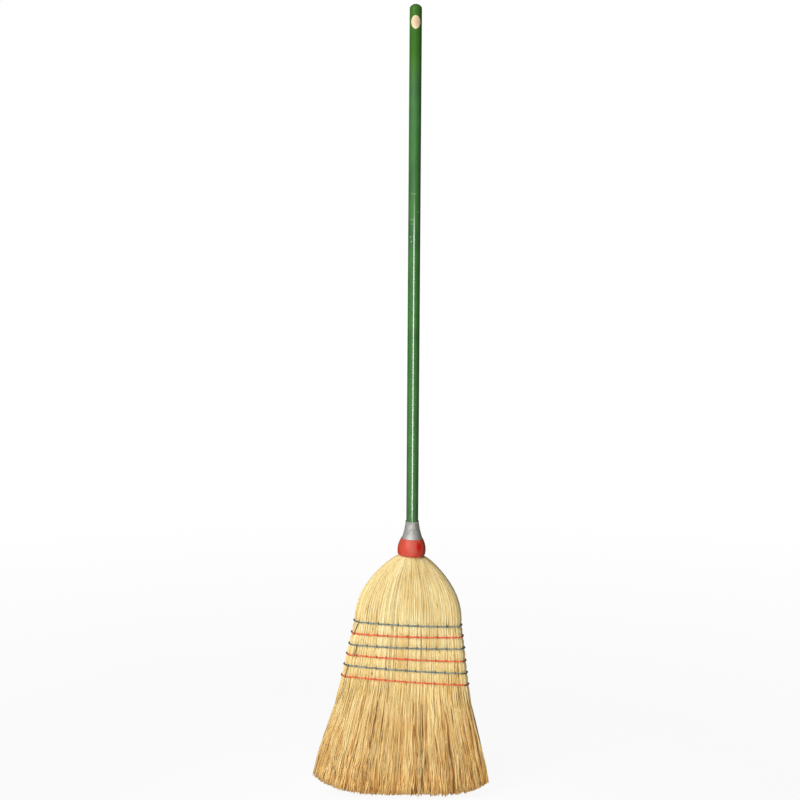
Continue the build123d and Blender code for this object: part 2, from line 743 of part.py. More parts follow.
def bristle_bundle(columns, levels):
    """Strands fused to their slice of the round root."""
    with BuildPart() as bundle:
        for down in (-flex_root_radius - FLEX_GAP, FLEX_ROOT_BELOW):
            with BuildSketch(head_plane(flex_height - down)):
                with BuildLine():
                    Polyline(root_corners(columns, levels, down), close=True)
                make_face()
        loft(ruled=True)
        add(flex_root, mode=Mode.INTERSECT)
        add([strand(column, level) for column in columns for level in levels])
        split(bisect_by=Plane.XY, keep=Keep.TOP)
    return bundle


middle_columns = range(SIDE_COLUMNS, STRAND_COLUMNS - SIDE_COLUMNS)
all_levels = range(STRAND_LEVELS)
third = STRAND_LEVELS // 3
left_bristles = bristle_bundle(range(SIDE_COLUMNS), all_levels)
right_bristles = bristle_bundle(range(STRAND_COLUMNS - SIDE_COLUMNS, STRAND_COLUMNS), all_levels)
front_bristles = bristle_bundle(middle_columns, range(third))
core_bristles = bristle_bundle(middle_columns, range(third, 2 * third))
back_bristles = bristle_bundle(middle_columns, range(2 * third, STRAND_LEVELS))

pieces = {
    "handle": handle,
    "handle_label": handle_label,
    "ferrule": ferrule,
    "ferrule_nails": ferrule_nails,
    "collar": collar,
    "binding_wire": binding_wire,
    "wire_nails": wire_nails,
    "core_bundle": core_bundle,
    "left_shoulder_bundle": left_shoulder,
    "right_shoulder_bundle": right_shoulder,
    "front_cover": front_cover,
    "back_cover": back_cover,
    "twine_links": twine_links,
    "left_bristles": left_bristles,
    "right_bristles": right_bristles,
    "front_bristles": front_bristles,
    "core_bristles": core_bristles,
    "back_bristles": back_bristles,
}
for i, thread in enumerate(stitch_rows):
    pieces[f"stitch_row_{i + 1}"] = thread

os.makedirs("parts", exist_ok=True)
for name, piece in pieces.items():
    piece.part.label = name
    export_step(piece.part, f"parts/{name}.step")

print("flex axis", flex_plane.origin, flex_plane.x_dir)
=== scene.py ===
import logging
import math
from dataclasses import dataclass
from enum import Enum
from functools import partial
from typing import Any, Callable, Sequence

import bpy
import numpy as np
from mathutils import Matrix, Vector


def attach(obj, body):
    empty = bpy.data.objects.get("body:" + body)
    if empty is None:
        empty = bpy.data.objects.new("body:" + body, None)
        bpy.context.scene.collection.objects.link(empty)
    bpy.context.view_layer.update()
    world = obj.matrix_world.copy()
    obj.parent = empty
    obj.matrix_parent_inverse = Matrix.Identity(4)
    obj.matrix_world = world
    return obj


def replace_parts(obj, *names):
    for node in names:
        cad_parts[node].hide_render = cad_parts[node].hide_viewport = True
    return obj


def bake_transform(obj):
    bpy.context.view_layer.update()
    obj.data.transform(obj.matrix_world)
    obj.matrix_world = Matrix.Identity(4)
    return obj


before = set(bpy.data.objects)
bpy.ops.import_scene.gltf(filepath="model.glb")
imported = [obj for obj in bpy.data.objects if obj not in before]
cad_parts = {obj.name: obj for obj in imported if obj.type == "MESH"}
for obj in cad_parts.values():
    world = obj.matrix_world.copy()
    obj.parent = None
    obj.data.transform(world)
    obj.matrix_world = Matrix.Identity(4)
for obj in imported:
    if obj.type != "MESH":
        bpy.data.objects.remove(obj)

# A flat sorghum broom on a lacquered stick, dressed piece by piece. Sizes are in millimetres, in the frame of
# the solids, and become metres where a mesh is made. Tones run from 0 for the palest straw to 1.
log = logging.getLogger("sorghum_broom")
Socket = bpy.types.NodeSocket
Feeds = dict[str | int, Any]
Adder = Callable[..., bpy.types.Node]
Range = tuple[float, float]
Point = tuple[float, float, float]
Stops = tuple[tuple[float, str], ...]
Marks = dict[str, np.ndarray | float]

MM = 0.001
TURN = 2 * math.pi
HEAD = "head"
STICK_X = 19.619
STICK_DIAMETER = 22.2
ACROSS = (1.0, 0.0, 0.0)
DEEP = (0.0, 1.0, 0.0)
UPRIGHT = (0.0, 0.0, 1.0)
WHITE = "#ffffff"
SPOT_EDGE = (1.1, 0.55)
STRIP_ASPECT = 32
SIDE_MARGIN = 0.1
END_MARGIN = 0.02
STRAW_SEED = 423


def linear(hex_code: str) -> tuple[float, float, float, float]:
    """Turn an sRGB hex colour into linear light.

    Args:
        hex_code: Six hex digits after a number sign.

    Returns:
        Red, green, blue and an alpha of 1.
    """
    parts = [int(hex_code[k : k + 2], 16) / 255 for k in (1, 3, 5)]
    light = [c / 12.92 if c <= 0.04045 else ((c + 0.055) / 1.055) ** 2.4 for c in parts]
    return (light[0], light[1], light[2], 1.0)


def repeats(size: float) -> float:
    """Repeats in a metre of a pattern whose marks are this many millimetres apart."""
    return 1000.0 / size


def drawn_out(size: float, stretch: float) -> Point:
    """Repeats in a metre along each axis, for marks that are some times longer upwards."""
    return (repeats(size), repeats(size), repeats(size * stretch))


def add_node(
    tree: bpy.types.NodeTree, kind: str, inputs: Feeds | None = None, stops: Stops = (), **settings: Any
) -> bpy.types.Node:
    """Add a node with its settings, values and links.

    Args:
        tree: Node tree that gets the node.
        kind: Blender's name of its type, after the word for shader nodes.
        inputs: Socket name or number to a value, a hex colour, or the output or node that feeds it.
        stops: Places along a colour ramp, each with a hex colour.
        settings: The node's own properties.

    Returns:
        The node.
    """
    node = tree.nodes.new(f"ShaderNode{kind}")
    for key, value in settings.items():
        setattr(node, key, value)
    ramp = node.color_ramp.elements if stops else ()
    while len(ramp) < len(stops):
        ramp.new(1.0)
    for element, (position, colour) in zip(ramp, stops):
        element.position = position
        element.color = linear(colour)
    for key, value in (inputs or {}).items():
        source = value.outputs[0] if isinstance(value, bpy.types.Node) else value
        if isinstance(source, Socket):
            tree.links.new(source, node.inputs[key])
        else:
            node.inputs[key].default_value = linear(source) if isinstance(source, str) else source
    return node


def cleared(owner: bpy.types.Material | bpy.types.World) -> Adder:
    """Clear the nodes of a material or room.

    Args:
        owner: The material or room.

    Returns:
        What adds a node to it.
    """
    owner.use_nodes = True
    owner.node_tree.nodes.clear()
    return partial(add_node, owner.node_tree)


def spot(add: Adder, place: Socket, middle: Point, size: Point, share: float = 1.0) -> bpy.types.Node:
    """Mark a soft-edged spot of a surface.

    Args:
        add: Adds a node to the material.
        place: Where the surface is, in metres.
        middle: Middle of the spot in millimetres.
        size: Half its sizes in millimetres.
        share: How strong it is in its middle.

    Returns:
        What gives the spot's strength, 0 outside it.
    """
    away = add("VectorMath", {0: place, 1: [v * MM for v in middle]}, operation="SUBTRACT")
    shrunk = add("VectorMath", {0: away, 1: [v * MM for v in size]}, operation="DIVIDE")
    far = add("VectorMath", {0: shrunk}, operation="LENGTH").outputs["Value"]
    edge = {"From Min": SPOT_EDGE[0], "From Max": SPOT_EDGE[1], "To Max": share}
    return add("MapRange", {"Value": far, **edge})


@dataclass(frozen=True)
class Finish:
    """A surface finish, painted with nodes once and shared by every piece that has it."""

    name: str
    slot: str

    def material(self) -> bpy.types.Material:
        """Make the finish's material on first use.

        Returns:
            The material, the same one each time.
        """
        found = bpy.data.materials.get(self.name)
        if found is not None:
            return found
        made = bpy.data.materials.new(self.name)
        add = cleared(made)
        add("OutputMaterial", {"Surface": add("BsdfPrincipled", self.paint(add))})
        return made

    def paint(self, add: Adder) -> Feeds:
        """What the surface shader's inputs get; each kind of finish has its own."""
        raise NotImplementedError(self.name)

    def dress(self, piece: bpy.types.Object) -> None:
        """Give a piece this finish.

        Args:
            piece: The piece.
        """
        piece.data.materials.clear()
        piece.data.materials.append(self.material())


@dataclass(frozen=True)
class LacqueredPine(Finish):
    """Turned pine dipped in green lacquer: glossy, uneven along the grain, dull where hands hold it.

    Each knock through to the wood is pale, and has its turn in degrees, height, width, length and share.
    """

    light: str = "#387c2b"
    dark: str = "#266321"
    rubbed: str = "#a9c79a"
    handled: str = "#4b6c28"
    grain_width: float = 2.4
    grain_stretch: float = 40.0
    mottle: float = 38.0
    chip: float = 1.5
    dull_end: Range = (1335.0, 1390.0)
    dull_gloss: float = 0.1
    shine: float = 0.6
    grip: Point = (19.6, 0.0, 1428.0)
    grip_size: Point = (60.0, 60.0, 88.0)
    grip_share: float = 0.5
    knocks: tuple[tuple[float, float, float, float, float], ...] = (
        (-13.0, 1140.6, 6.2, 1.6, 0.50),
        (38.0, 1107.6, 3.2, 1.2, 0.85),
        (-28.0, 1093.6, 4.4, 1.6, 0.40),
        (-24.0, 1086.0, 3.8, 1.2, 0.40),
        (-41.0, 1061.6, 2.0, 2.6, 0.60),
        (-30.0, 1053.6, 1.7, 1.7, 0.95),
    )

    def paint(self, add: Adder) -> Feeds:
        """Paint long grain under the lacquer, soft mottle, the worn top and the knocks.

        Args:
            add: Adds a node to the material.

        Returns:
            Inputs of the surface shader.
        """
        place = add("TexCoord").outputs["Object"]
        along = add("Mapping", {"Vector": place, "Scale": drawn_out(self.grain_width, self.grain_stretch)})
        grain = add("TexNoise", {"Vector": along, "Scale": 1.0, "Detail": 4.0})
        mottle = add("TexNoise", {"Vector": place, "Scale": repeats(self.mottle), "Detail": 2.0})
        both = add("Math", {0: grain, 1: mottle}, operation="ADD")
        half = add("Math", {0: both, 1: 0.5}, operation="MULTIPLY")
        green = add("ValToRGB", {"Fac": half}, stops=((0.36, self.dark), (0.62, self.light)))
        held = spot(add, place, self.grip, self.grip_size, self.grip_share)
        worn = add("Mix", {0: held, 6: green, 7: self.handled}, data_type="RGBA").outputs[2]
        radius = STICK_DIAMETER / 2
        scar: bpy.types.Node | float = 0.0
        for turn, height, wide, tall, share in self.knocks:
            around = math.radians(turn)
            centre = (STICK_X + radius * math.sin(around), -radius * math.cos(around), height)
            knock = spot(add, place, centre, (wide, wide, tall), share)
            scar = add("Math", {0: scar, 1: knock}, operation="MAXIMUM")
        chips = add("TexNoise", {"Vector": place, "Scale": repeats(self.chip), "Detail": 2.0})
        broken = add("MapRange", {"Value": chips, "From Min": 0.38, "From Max": 0.52})
        bare = add("Math", {0: scar, 1: broken}, operation="MULTIPLY")
        level = add("SeparateXYZ", {0: place}).outputs["Z"]
        low, high = (end * MM for end in self.dull_end)
        fade = {"From Min": low, "From Max": high, "To Min": 1.0, "To Max": self.dull_gloss}
        gloss = add("MapRange", {"Value": level, **fade})
        rough = {"From Min": 0.35, "From Max": 0.65, "To Min": 0.62, "To Max": 0.72}
        return {
            "Base Color": add("Mix", {0: bare, 6: worn, 7: self.rubbed}, data_type="RGBA").outputs[2],
            "Roughness": add("MapRange", {"Value": half, **rough}),
            "Normal": add("Bump", {"Height": grain, "Strength": 0.04, "Distance": 0.3 * MM}),
            "Specular IOR Level": add("Math", {0: gloss, 1: self.shine}, operation="MULTIPLY"),
            "IOR": 1.54,
            "Coat Weight": gloss,
            "Coat Roughness": 0.11,
            "Coat IOR": 1.8,
        }


@dataclass(frozen=True)
class UncoatedPaper(Finish):
    """Glued paper sticker with nothing on it: cream, matt, faint fibre clouds, browner inside its edge.

    Pulp fibre is too fine to show, so it is drawn coarser.
    """

    cream: str = "#eddcb8"
    aged: str = "#dcc096"
    browned: str = "#e3c09b"
    fibre: float = 1.6
    cloud: float = 9.0
    inner: Point = (21.0, -11.0, 1449.6)
    inner_size: Point = (7.2, 7.2, 10.5)
    inner_share: float = 0.8

    def paint(self, add: Adder) -> Feeds:
        """Paint fibre flecks over soft clouds.

        Args:
            add: Adds a node to the material.

        Returns:
            Inputs of the surface shader.
        """
        place = add("TexCoord").outputs["Object"]
        fibre = add("TexNoise", {"Vector": place, "Scale": repeats(self.fibre), "Detail": 4.0})
        cloud = add("TexNoise", {"Vector": place, "Scale": repeats(self.cloud), "Detail": 2.0})
        both = add("Math", {0: fibre, 1: cloud}, operation="MULTIPLY")
        paper = add("ValToRGB", {"Fac": both}, stops=((0.10, self.aged), (0.34, self.cream)))
        inside = spot(add, place, self.inner, self.inner_size, self.inner_share)
        return {
            "Base Color": add("Mix", {0: inside, 6: paper, 7: self.browned}, data_type="RGBA").outputs[2],
            "Normal": add("Bump", {"Height": fibre, "Strength": 0.2, "Distance": 0.2 * MM}),
            "Roughness": 0.62,
        }


@dataclass(frozen=True)
class GalvanisedSheet(Finish):
    """Hot-dipped steel sheet, weathered: soft spangles under a dull zinc bloom that hides half the metal."""

    bright: str = "#b9b8b4"
    dull: str = "#9b9a95"
    stain: str = "#968474"
    spangle: float = 6.5
    smear: float = 22.0

    def paint(self, add: Adder) -> Feeds:
        """Paint spangles, smears and a changing dullness.

        Args:
            add: Adds a node to the material.

        Returns:
            Inputs of the surface shader.
        """
        place = add("TexCoord").outputs["Object"]
        spangle = add("TexVoronoi", {"Vector": place, "Scale": repeats(self.spangle)}).outputs["Color"]
        shade = add("SeparateXYZ", {0: spangle})
        smear = add("TexNoise", {"Vector": place, "Scale": repeats(self.smear), "Detail": 5.0})
        mixed = add("Math", {0: shade, 1: 0.45, 2: smear}, operation="MULTIPLY_ADD")
        grey = add("ValToRGB", {"Fac": mixed}, stops=((0.40, self.dull), (0.95, self.bright)))
        dirt = add("MapRange", {"Value": smear, "From Min": 0.58, "From Max": 0.78, "To Max": 0.35})
        rough = {"From Min": 0.3, "From Max": 1.0, "To Min": 0.70, "To Max": 0.58}
        return {
            "Base Color": add("Mix", {0: dirt, 6: grey, 7: self.stain}, data_type="RGBA").outputs[2],
            "Roughness": add("MapRange", {"Value": mixed, **rough}),
            "Normal": add("Bump", {"Height": mixed, "Strength": 0.08, "Distance": 0.4 * MM}),
            "Metallic": 0.4,
        }


@dataclass(frozen=True)
class BrightWire(Finish):
    """Drawn mild steel of nails and binding wire: plain grey metal with fine draw marks.

    The marks are too fine to show, so they are drawn coarser.
    """

    bright: str = "#a5a39d"
    dull: str = "#6d6a64"
    draw_mark: float = 1.2

    def paint(self, add: Adder) -> Feeds:
        """Paint fine draw marks.

        Args:
            add: Adds a node to the material.

        Returns:
            Inputs of the surface shader.
        """
        place = add("TexCoord").outputs["Object"]
        drawn = add("TexNoise", {"Vector": place, "Scale": repeats(self.draw_mark), "Detail": 3.0})
        grey = add("ValToRGB", {"Fac": drawn}, stops=((0.35, self.dull), (0.65, self.bright)))
        return {"Base Color": grey, "Metallic": 1.0, "Roughness": 0.38}


@dataclass(frozen=True)
class MouldedPolythene(Finish):
    """Blow-moulded red polythene: waxy satin, a little chalked on the belly, with a deeper red spot at the
    front right.
    """

    clean: str = "#d03e28"
    chalked: str = "#c9543f"
    deep: str = "#cc1206"
    chalk: float = 17.0
    orange_peel: float = 1.8
    # a deeper red spot at the front right of the belly
    deep_red_spot: Point = (32.4, -21.0, 488.0)
    deep_red_size: Point = (6.0, 9.0, 10.5)

    def paint(self, add: Adder) -> Feeds:
        """Paint chalky clouds, one deeper red spot, and moulded orange peel.

        Args:
            add: Adds a node to the material.

        Returns:
            Inputs of the surface shader.
        """
        place = add("TexCoord").outputs["Object"]
        cloud = add("TexNoise", {"Vector": place, "Scale": repeats(self.chalk), "Detail": 3.0})
        red = add("ValToRGB", {"Fac": cloud}, stops=((0.38, self.clean), (0.60, self.chalked)))
        bare = spot(add, place, self.deep_red_spot, self.deep_red_size)
        peel = add("TexNoise", {"Vector": place, "Scale": repeats(self.orange_peel), "Detail": 2.0})
        rough = {"From Min": 0.35, "From Max": 0.65, "To Min": 0.46, "To Max": 0.60}
        return {
            "Base Color": add("Mix", {0: bare, 6: red, 7: self.deep}, data_type="RGBA").outputs[2],
            "Roughness": add("MapRange", {"Value": cloud, **rough}),
            "Normal": add("Bump", {"Height": peel, "Strength": 0.10, "Distance": 0.3 * MM}),
            "IOR": 1.51,
        }


@dataclass(frozen=True)
class SorghumStraw(Finish):
    """Dried sorghum: pale waxy stalks, golden and rust towards the brush, each strand a little different.

    Plant fibre is too fine to show, so it is drawn coarser.
    """

    strands: Stops = ()
    ageing: Stops = (
        (0.0, "#f3f1ec"),
        (0.20, "#f8f6f1"),
        (0.32, "#ffffff"),
        (0.45, "#fefaf1"),
        (0.60, "#faf2e2"),
        (0.85, "#faeace"),
        (1.0, "#fce0b1"),
    )
    streaks: Stops = ((0.30, "#dccba8"), (0.52, WHITE))
    stains: Stops = ((0.30, "#efe0c4"), (0.50, WHITE))
    fibre: float = 0.7
    fibre_stretch: float = 40.0
    blotch: float = 34.0
    blotch_stretch: float = 3.0

    def paint(self, add: Adder) -> Feeds:
        """Paint each strand's tone with the painted shade and light it carries, its ageing from neck to tip,
        fibre streaks and blotches.

        Args:
            add: Adds a node to the material.

        Returns:
            Inputs of the surface shader.
        """
        place = add("TexCoord").outputs["Object"]
        along = add("Mapping", {"Vector": place, "Scale": drawn_out(self.fibre, self.fibre_stretch)})
        fibre = add("TexNoise", {"Vector": along, "Scale": 1.0, "Detail": 3.0})
        tall = add("Mapping", {"Vector": place, "Scale": drawn_out(self.blotch, self.blotch_stretch)})
        blotch = add("TexNoise", {"Vector": tall, "Scale": 1.0, "Detail": 3.0})
        tone, reach = (add("Attribute", attribute_name=mark).outputs["Fac"] for mark in ("tone", "reach"))
        # the tone holds each strand's own tone and the painted shade and light given by the pieces
        colour: bpy.types.Node | Socket = add("ValToRGB", {"Fac": tone}, stops=self.strands)
        for value, stops in ((reach, self.ageing), (fibre, self.streaks), (blotch, self.stains)):
            layers = {0: 1.0, 6: colour, 7: add("ValToRGB", {"Fac": value}, stops=stops)}
            colour = add("Mix", layers, data_type="RGBA", blend_type="MULTIPLY").outputs[2]
        return {
            "Base Color": colour,
            "Normal": add("Bump", {"Height": fibre, "Strength": 0.25, "Distance": 0.3 * MM}),
            "Roughness": 0.58,
            "Specular IOR Level": 0.35,
            "Sheen Weight": 0.06,
        }


@dataclass(frozen=True)
class SpunTwine(Finish):
    """Two-ply spun twine: matt dyed fibre, darker in the lay and where it goes into the straw.

    Spun fibre is too fine to show, so it is drawn coarser.
    """

    dyed: str = "#70807f"
    faded: str = "#9fa9a2"
    # darkest twine, for dirt and for painted shade
    soiled_and_shaded: str = "#353432"
    fibre: float = 0.6

    def paint(self, add: Adder) -> Feeds:
        """Paint dyed fibre, faded, soiled and darkened as painted shade along its length.

        Args:
            add: Adds a node to the material.

        Returns:
            Inputs of the surface shader.
        """
        place = add("TexCoord").outputs["Object"]
        fibre = add("TexNoise", {"Vector": place, "Scale": repeats(self.fibre), "Detail": 3.0})
        tone = add("Attribute", attribute_name="tone").outputs["Fac"]
        # the tone brings in dirt and painted shade
        grime_and_shade = add("Math", {0: fibre, 1: 0.45, 2: tone}, operation="MULTIPLY_ADD")
        stops = ((0.25, self.faded), (0.55, self.dyed), (0.98, self.soiled_and_shaded))
        return {
            "Base Color": add("ValToRGB", {"Fac": grime_and_shade}, stops=stops),
            "Normal": add("Bump", {"Height": fibre, "Strength": 0.5, "Distance": 0.3 * MM}),
            "Roughness": 0.82,
            "Sheen Weight": 0.15,
        }


GREEN_LACQUER = LacqueredPine("green lacquered pine", "green_lacquered_wood")
CREAM_PAPER = UncoatedPaper("cream uncoated paper", "cream_paper")
ZINC_SHEET = GalvanisedSheet("galvanised steel sheet", "galvanised_sheet")
NAIL_STEEL = BrightWire("bright nail steel", "steel_nails")
WIRE_STEEL = BrightWire("drawn binding wire", "steel_wire")
RED_POLYTHENE = MouldedPolythene("red moulded polythene", "red_plastic")
STALK_STRAW = SorghumStraw(
    "sorghum stalk",
    "pale_sorghum",
    ((0.0, "#fff4c4"), (0.45, "#fae6aa"), (0.75, "#efd28c"), (0.92, "#d2ad66"), (1.0, "#a8823f")),
)
BRUSH_STRAW = SorghumStraw(
    "sorghum brush",
    "golden_sorghum",
    (
        (0.0, "#fbf0c6"),
        (0.35, "#f3dfa8"),
        (0.62, "#e7cb8e"),
        (0.82, "#cda05b"),
        (0.92, "#b98242"),
        (1.0, "#825c2a"),
    ),
)
BLUE_TWINE = SpunTwine("blue grey spun twine", "blue_twine")
RED_TWINE = SpunTwine("red spun twine", "red_twine", dyed="#ec5a34", faded="#f3855c", soiled_and_shaded="#7e2c17")


def new_piece(
    name: str,
    points: np.ndarray,
    faces: Sequence[np.ndarray],
    marks: Marks | None = None,
    chart: np.ndarray | None = None,
) -> bpy.types.Object:
    """Make a mesh piece from arrays, smooth but for its flat ends.

    Args:
        name: Name of the piece.
        points: Corner points in metres, one row each.
        faces: Arrays of corner numbers: the smooth faces first, then any flat ends.
        marks: Values at each corner that a finish reads, by name.
        chart: Flat coordinates of each face corner, in the order of faces.

    Returns:
        The piece, in the scene.
    """
    mesh = bpy.data.meshes.new(name)
    flat = np.concatenate([f.ravel() for f in faces]).astype(np.int32)
    sizes = np.concatenate([np.full(len(f), f.shape[1]) for f in faces])
    starts = np.concatenate([[0], np.cumsum(sizes)[:-1]]).astype(np.int32)
    mesh.vertices.add(len(points))
    mesh.vertices.foreach_set("co", points.astype(np.float32).ravel())
    mesh.loops.add(len(flat))
    mesh.loops.foreach_set("vertex_index", flat)
    mesh.polygons.add(len(sizes))
    mesh.polygons.foreach_set("loop_start", starts)
    mesh.update(calc_edges=True)
    mesh.polygons.foreach_set("use_smooth", np.arange(len(sizes)) < len(faces[0]))
    for key, values in (marks or {}).items():
        mark = mesh.attributes.new(key, "FLOAT", "POINT")
        mark.data.foreach_set("value", values.astype(np.float32).ravel())
    if chart is not None:
        layer = mesh.uv_layers.new(name="OFBake")
        layer.data.foreach_set("uv", chart.astype(np.float32).ravel())
    mesh.validate()
    piece = bpy.data.objects.new(name, mesh)
    bpy.context.scene.collection.objects.link(piece)
    return piece


def unit(vectors: np.ndarray) -> np.ndarray:
    """Vectors made 1 long."""
    return vectors / np.linalg.norm(vectors, axis=-1, keepdims=True)


def round_angles(count: int) -> np.ndarray:
    """Angles once round, evenly spaced."""
    return TURN * np.arange(count) / count


def quads(index: np.ndarray) -> np.ndarray:
    """Faces between neighbouring rings of corner numbers, with the rings and their corners last."""
    turned = np.roll(index, -1, axis=-1)
    return np.stack(
        [index[..., :-1, :], turned[..., :-1, :], turned[..., 1:, :], index[..., 1:, :]], -1
    ).reshape(-1, 4)


def strips(count: int, rings: int, sides: int) -> np.ndarray:
    """Chart many tubes, each as a strip with a small margin round it.

    Args:
        count: Number of tubes.
        rings: Rings of a tube.
        sides: Sides of a tube.

    Returns:
        Flat coordinates of the corners of all walls, then of all first ends, then of all last ends.
    """
    columns = math.ceil(math.sqrt(count * STRIP_ASPECT))
    rows = math.ceil(count / columns)
    strip = np.arange(count)[:, None, None]
    left, low = strip % columns, strip // columns
    step = np.arange(sides)
    wide, tall = 1 - 2 * SIDE_MARGIN, 1 - 2 * END_MARGIN
    u0 = (left + SIDE_MARGIN + wide * step / sides) / columns
    u1 = (left + SIDE_MARGIN + wide * (step + 1) / sides) / columns
    v = (low + END_MARGIN + tall * np.arange(rings)[:, None] / (rings - 1)) / rows
    corners = ((u0, v[:, :-1]), (u1, v[:, :-1]), (u1, v[:, 1:]), (u0, v[:, 1:]))
    walls = np.stack([np.stack(np.broadcast_arrays(*corner), -1) for corner in corners], -2)
    first = np.stack(np.broadcast_arrays(u0, v[:, :1]), -1)[:, 0, ::-1]
    last = np.stack(np.broadcast_arrays(u0, v[:, -1:]), -1)[:, 0]
    return np.concatenate([part.reshape(-1, 2) for part in (walls, first, last)])


def tubes(
    name: str, paths: np.ndarray, radii: np.ndarray | float, sides: int, hint: Point, marks: Marks
) -> bpy.types.Object:
    """Make one piece of many closed tubes.

    Args:
        name: Name of the piece.
        paths: Middle points in millimetres, as tube, ring and axis.
        radii: Radius in millimetres, one for all or one at each ring.
        sides: Sides of a tube.
        hint: A direction that no tube runs along.
        marks: Values at each ring that a finish reads, by name.

    Returns:
        The piece, in the scene, with a strip of its chart for each tube.
    """
    count, rings, _ = paths.shape
    along = unit(np.gradient(paths, axis=1))
    aside = unit(np.cross(along, np.array(hint, float)))
    lift = np.cross(along, aside)
    turn = round_angles(sides)
    spoke = aside[:, :, None, :] * np.cos(turn)[:, None] + lift[:, :, None, :] * np.sin(turn)[:, None]
    reach = np.broadcast_to(radii, (count, rings))[:, :, None, None]
    points = (paths[:, :, None, :] + reach * spoke) * MM
    index = np.arange(count * rings * sides).reshape(count, rings, sides)
    caps = np.concatenate([index[:, 0, ::-1], index[:, -1]])
    spread = {k: np.repeat(np.broadcast_to(m, (count, rings)), sides, axis=1) for k, m in marks.items()}
    faces = [quads(index), caps]
    return new_piece(name, points.reshape(-1, 3), faces, spread, strips(count, rings, sides))


def turned_piece(
    name: str, profile: Sequence[Range], foot: Point, axis: Point, segments: int, closed: bool
) -> bpy.types.Object:
    """Turn a profile about an axis.

    Args:
        name: Name of the piece.
        profile: Radius and height points in millimetres, going up the outside.
        foot: Point of the axis at height 0, in millimetres.
        axis: Direction of the axis.
        segments: Sides round the axis.
        closed: Whether the profile's end joins its start; otherwise both ends lie on the axis.

    Returns:
        The piece, in the scene.
    """
    up = Vector(axis).normalized()
    aside = up.cross(Vector(DEEP)).normalized()
    front = up.cross(aside)
    turn = round_angles(segments)
    spoke = np.cos(turn)[:, None] * np.array(aside) + np.sin(turn)[:, None] * np.array(front)
    radius, height = np.array(profile, float).T[:, :, None, None]
    points = np.array(foot) + height * np.array(up) + radius * spoke
    index = np.arange(len(profile) * segments).reshape(-1, segments)
    rings = np.concatenate([index, index[:1]]) if closed else index
    return new_piece(name, points.reshape(-1, 3) * MM, [quads(rings)])


def arc(centre: Range, radius: float, start: float, end: float, count: int) -> list[Range]:
    """Points of an arc, from a start to an end in degrees, both included."""
    angles = np.radians(np.linspace(start, end, count + 1))
    return [(centre[0] + radius * math.cos(a), centre[1] + radius * math.sin(a)) for a in angles]


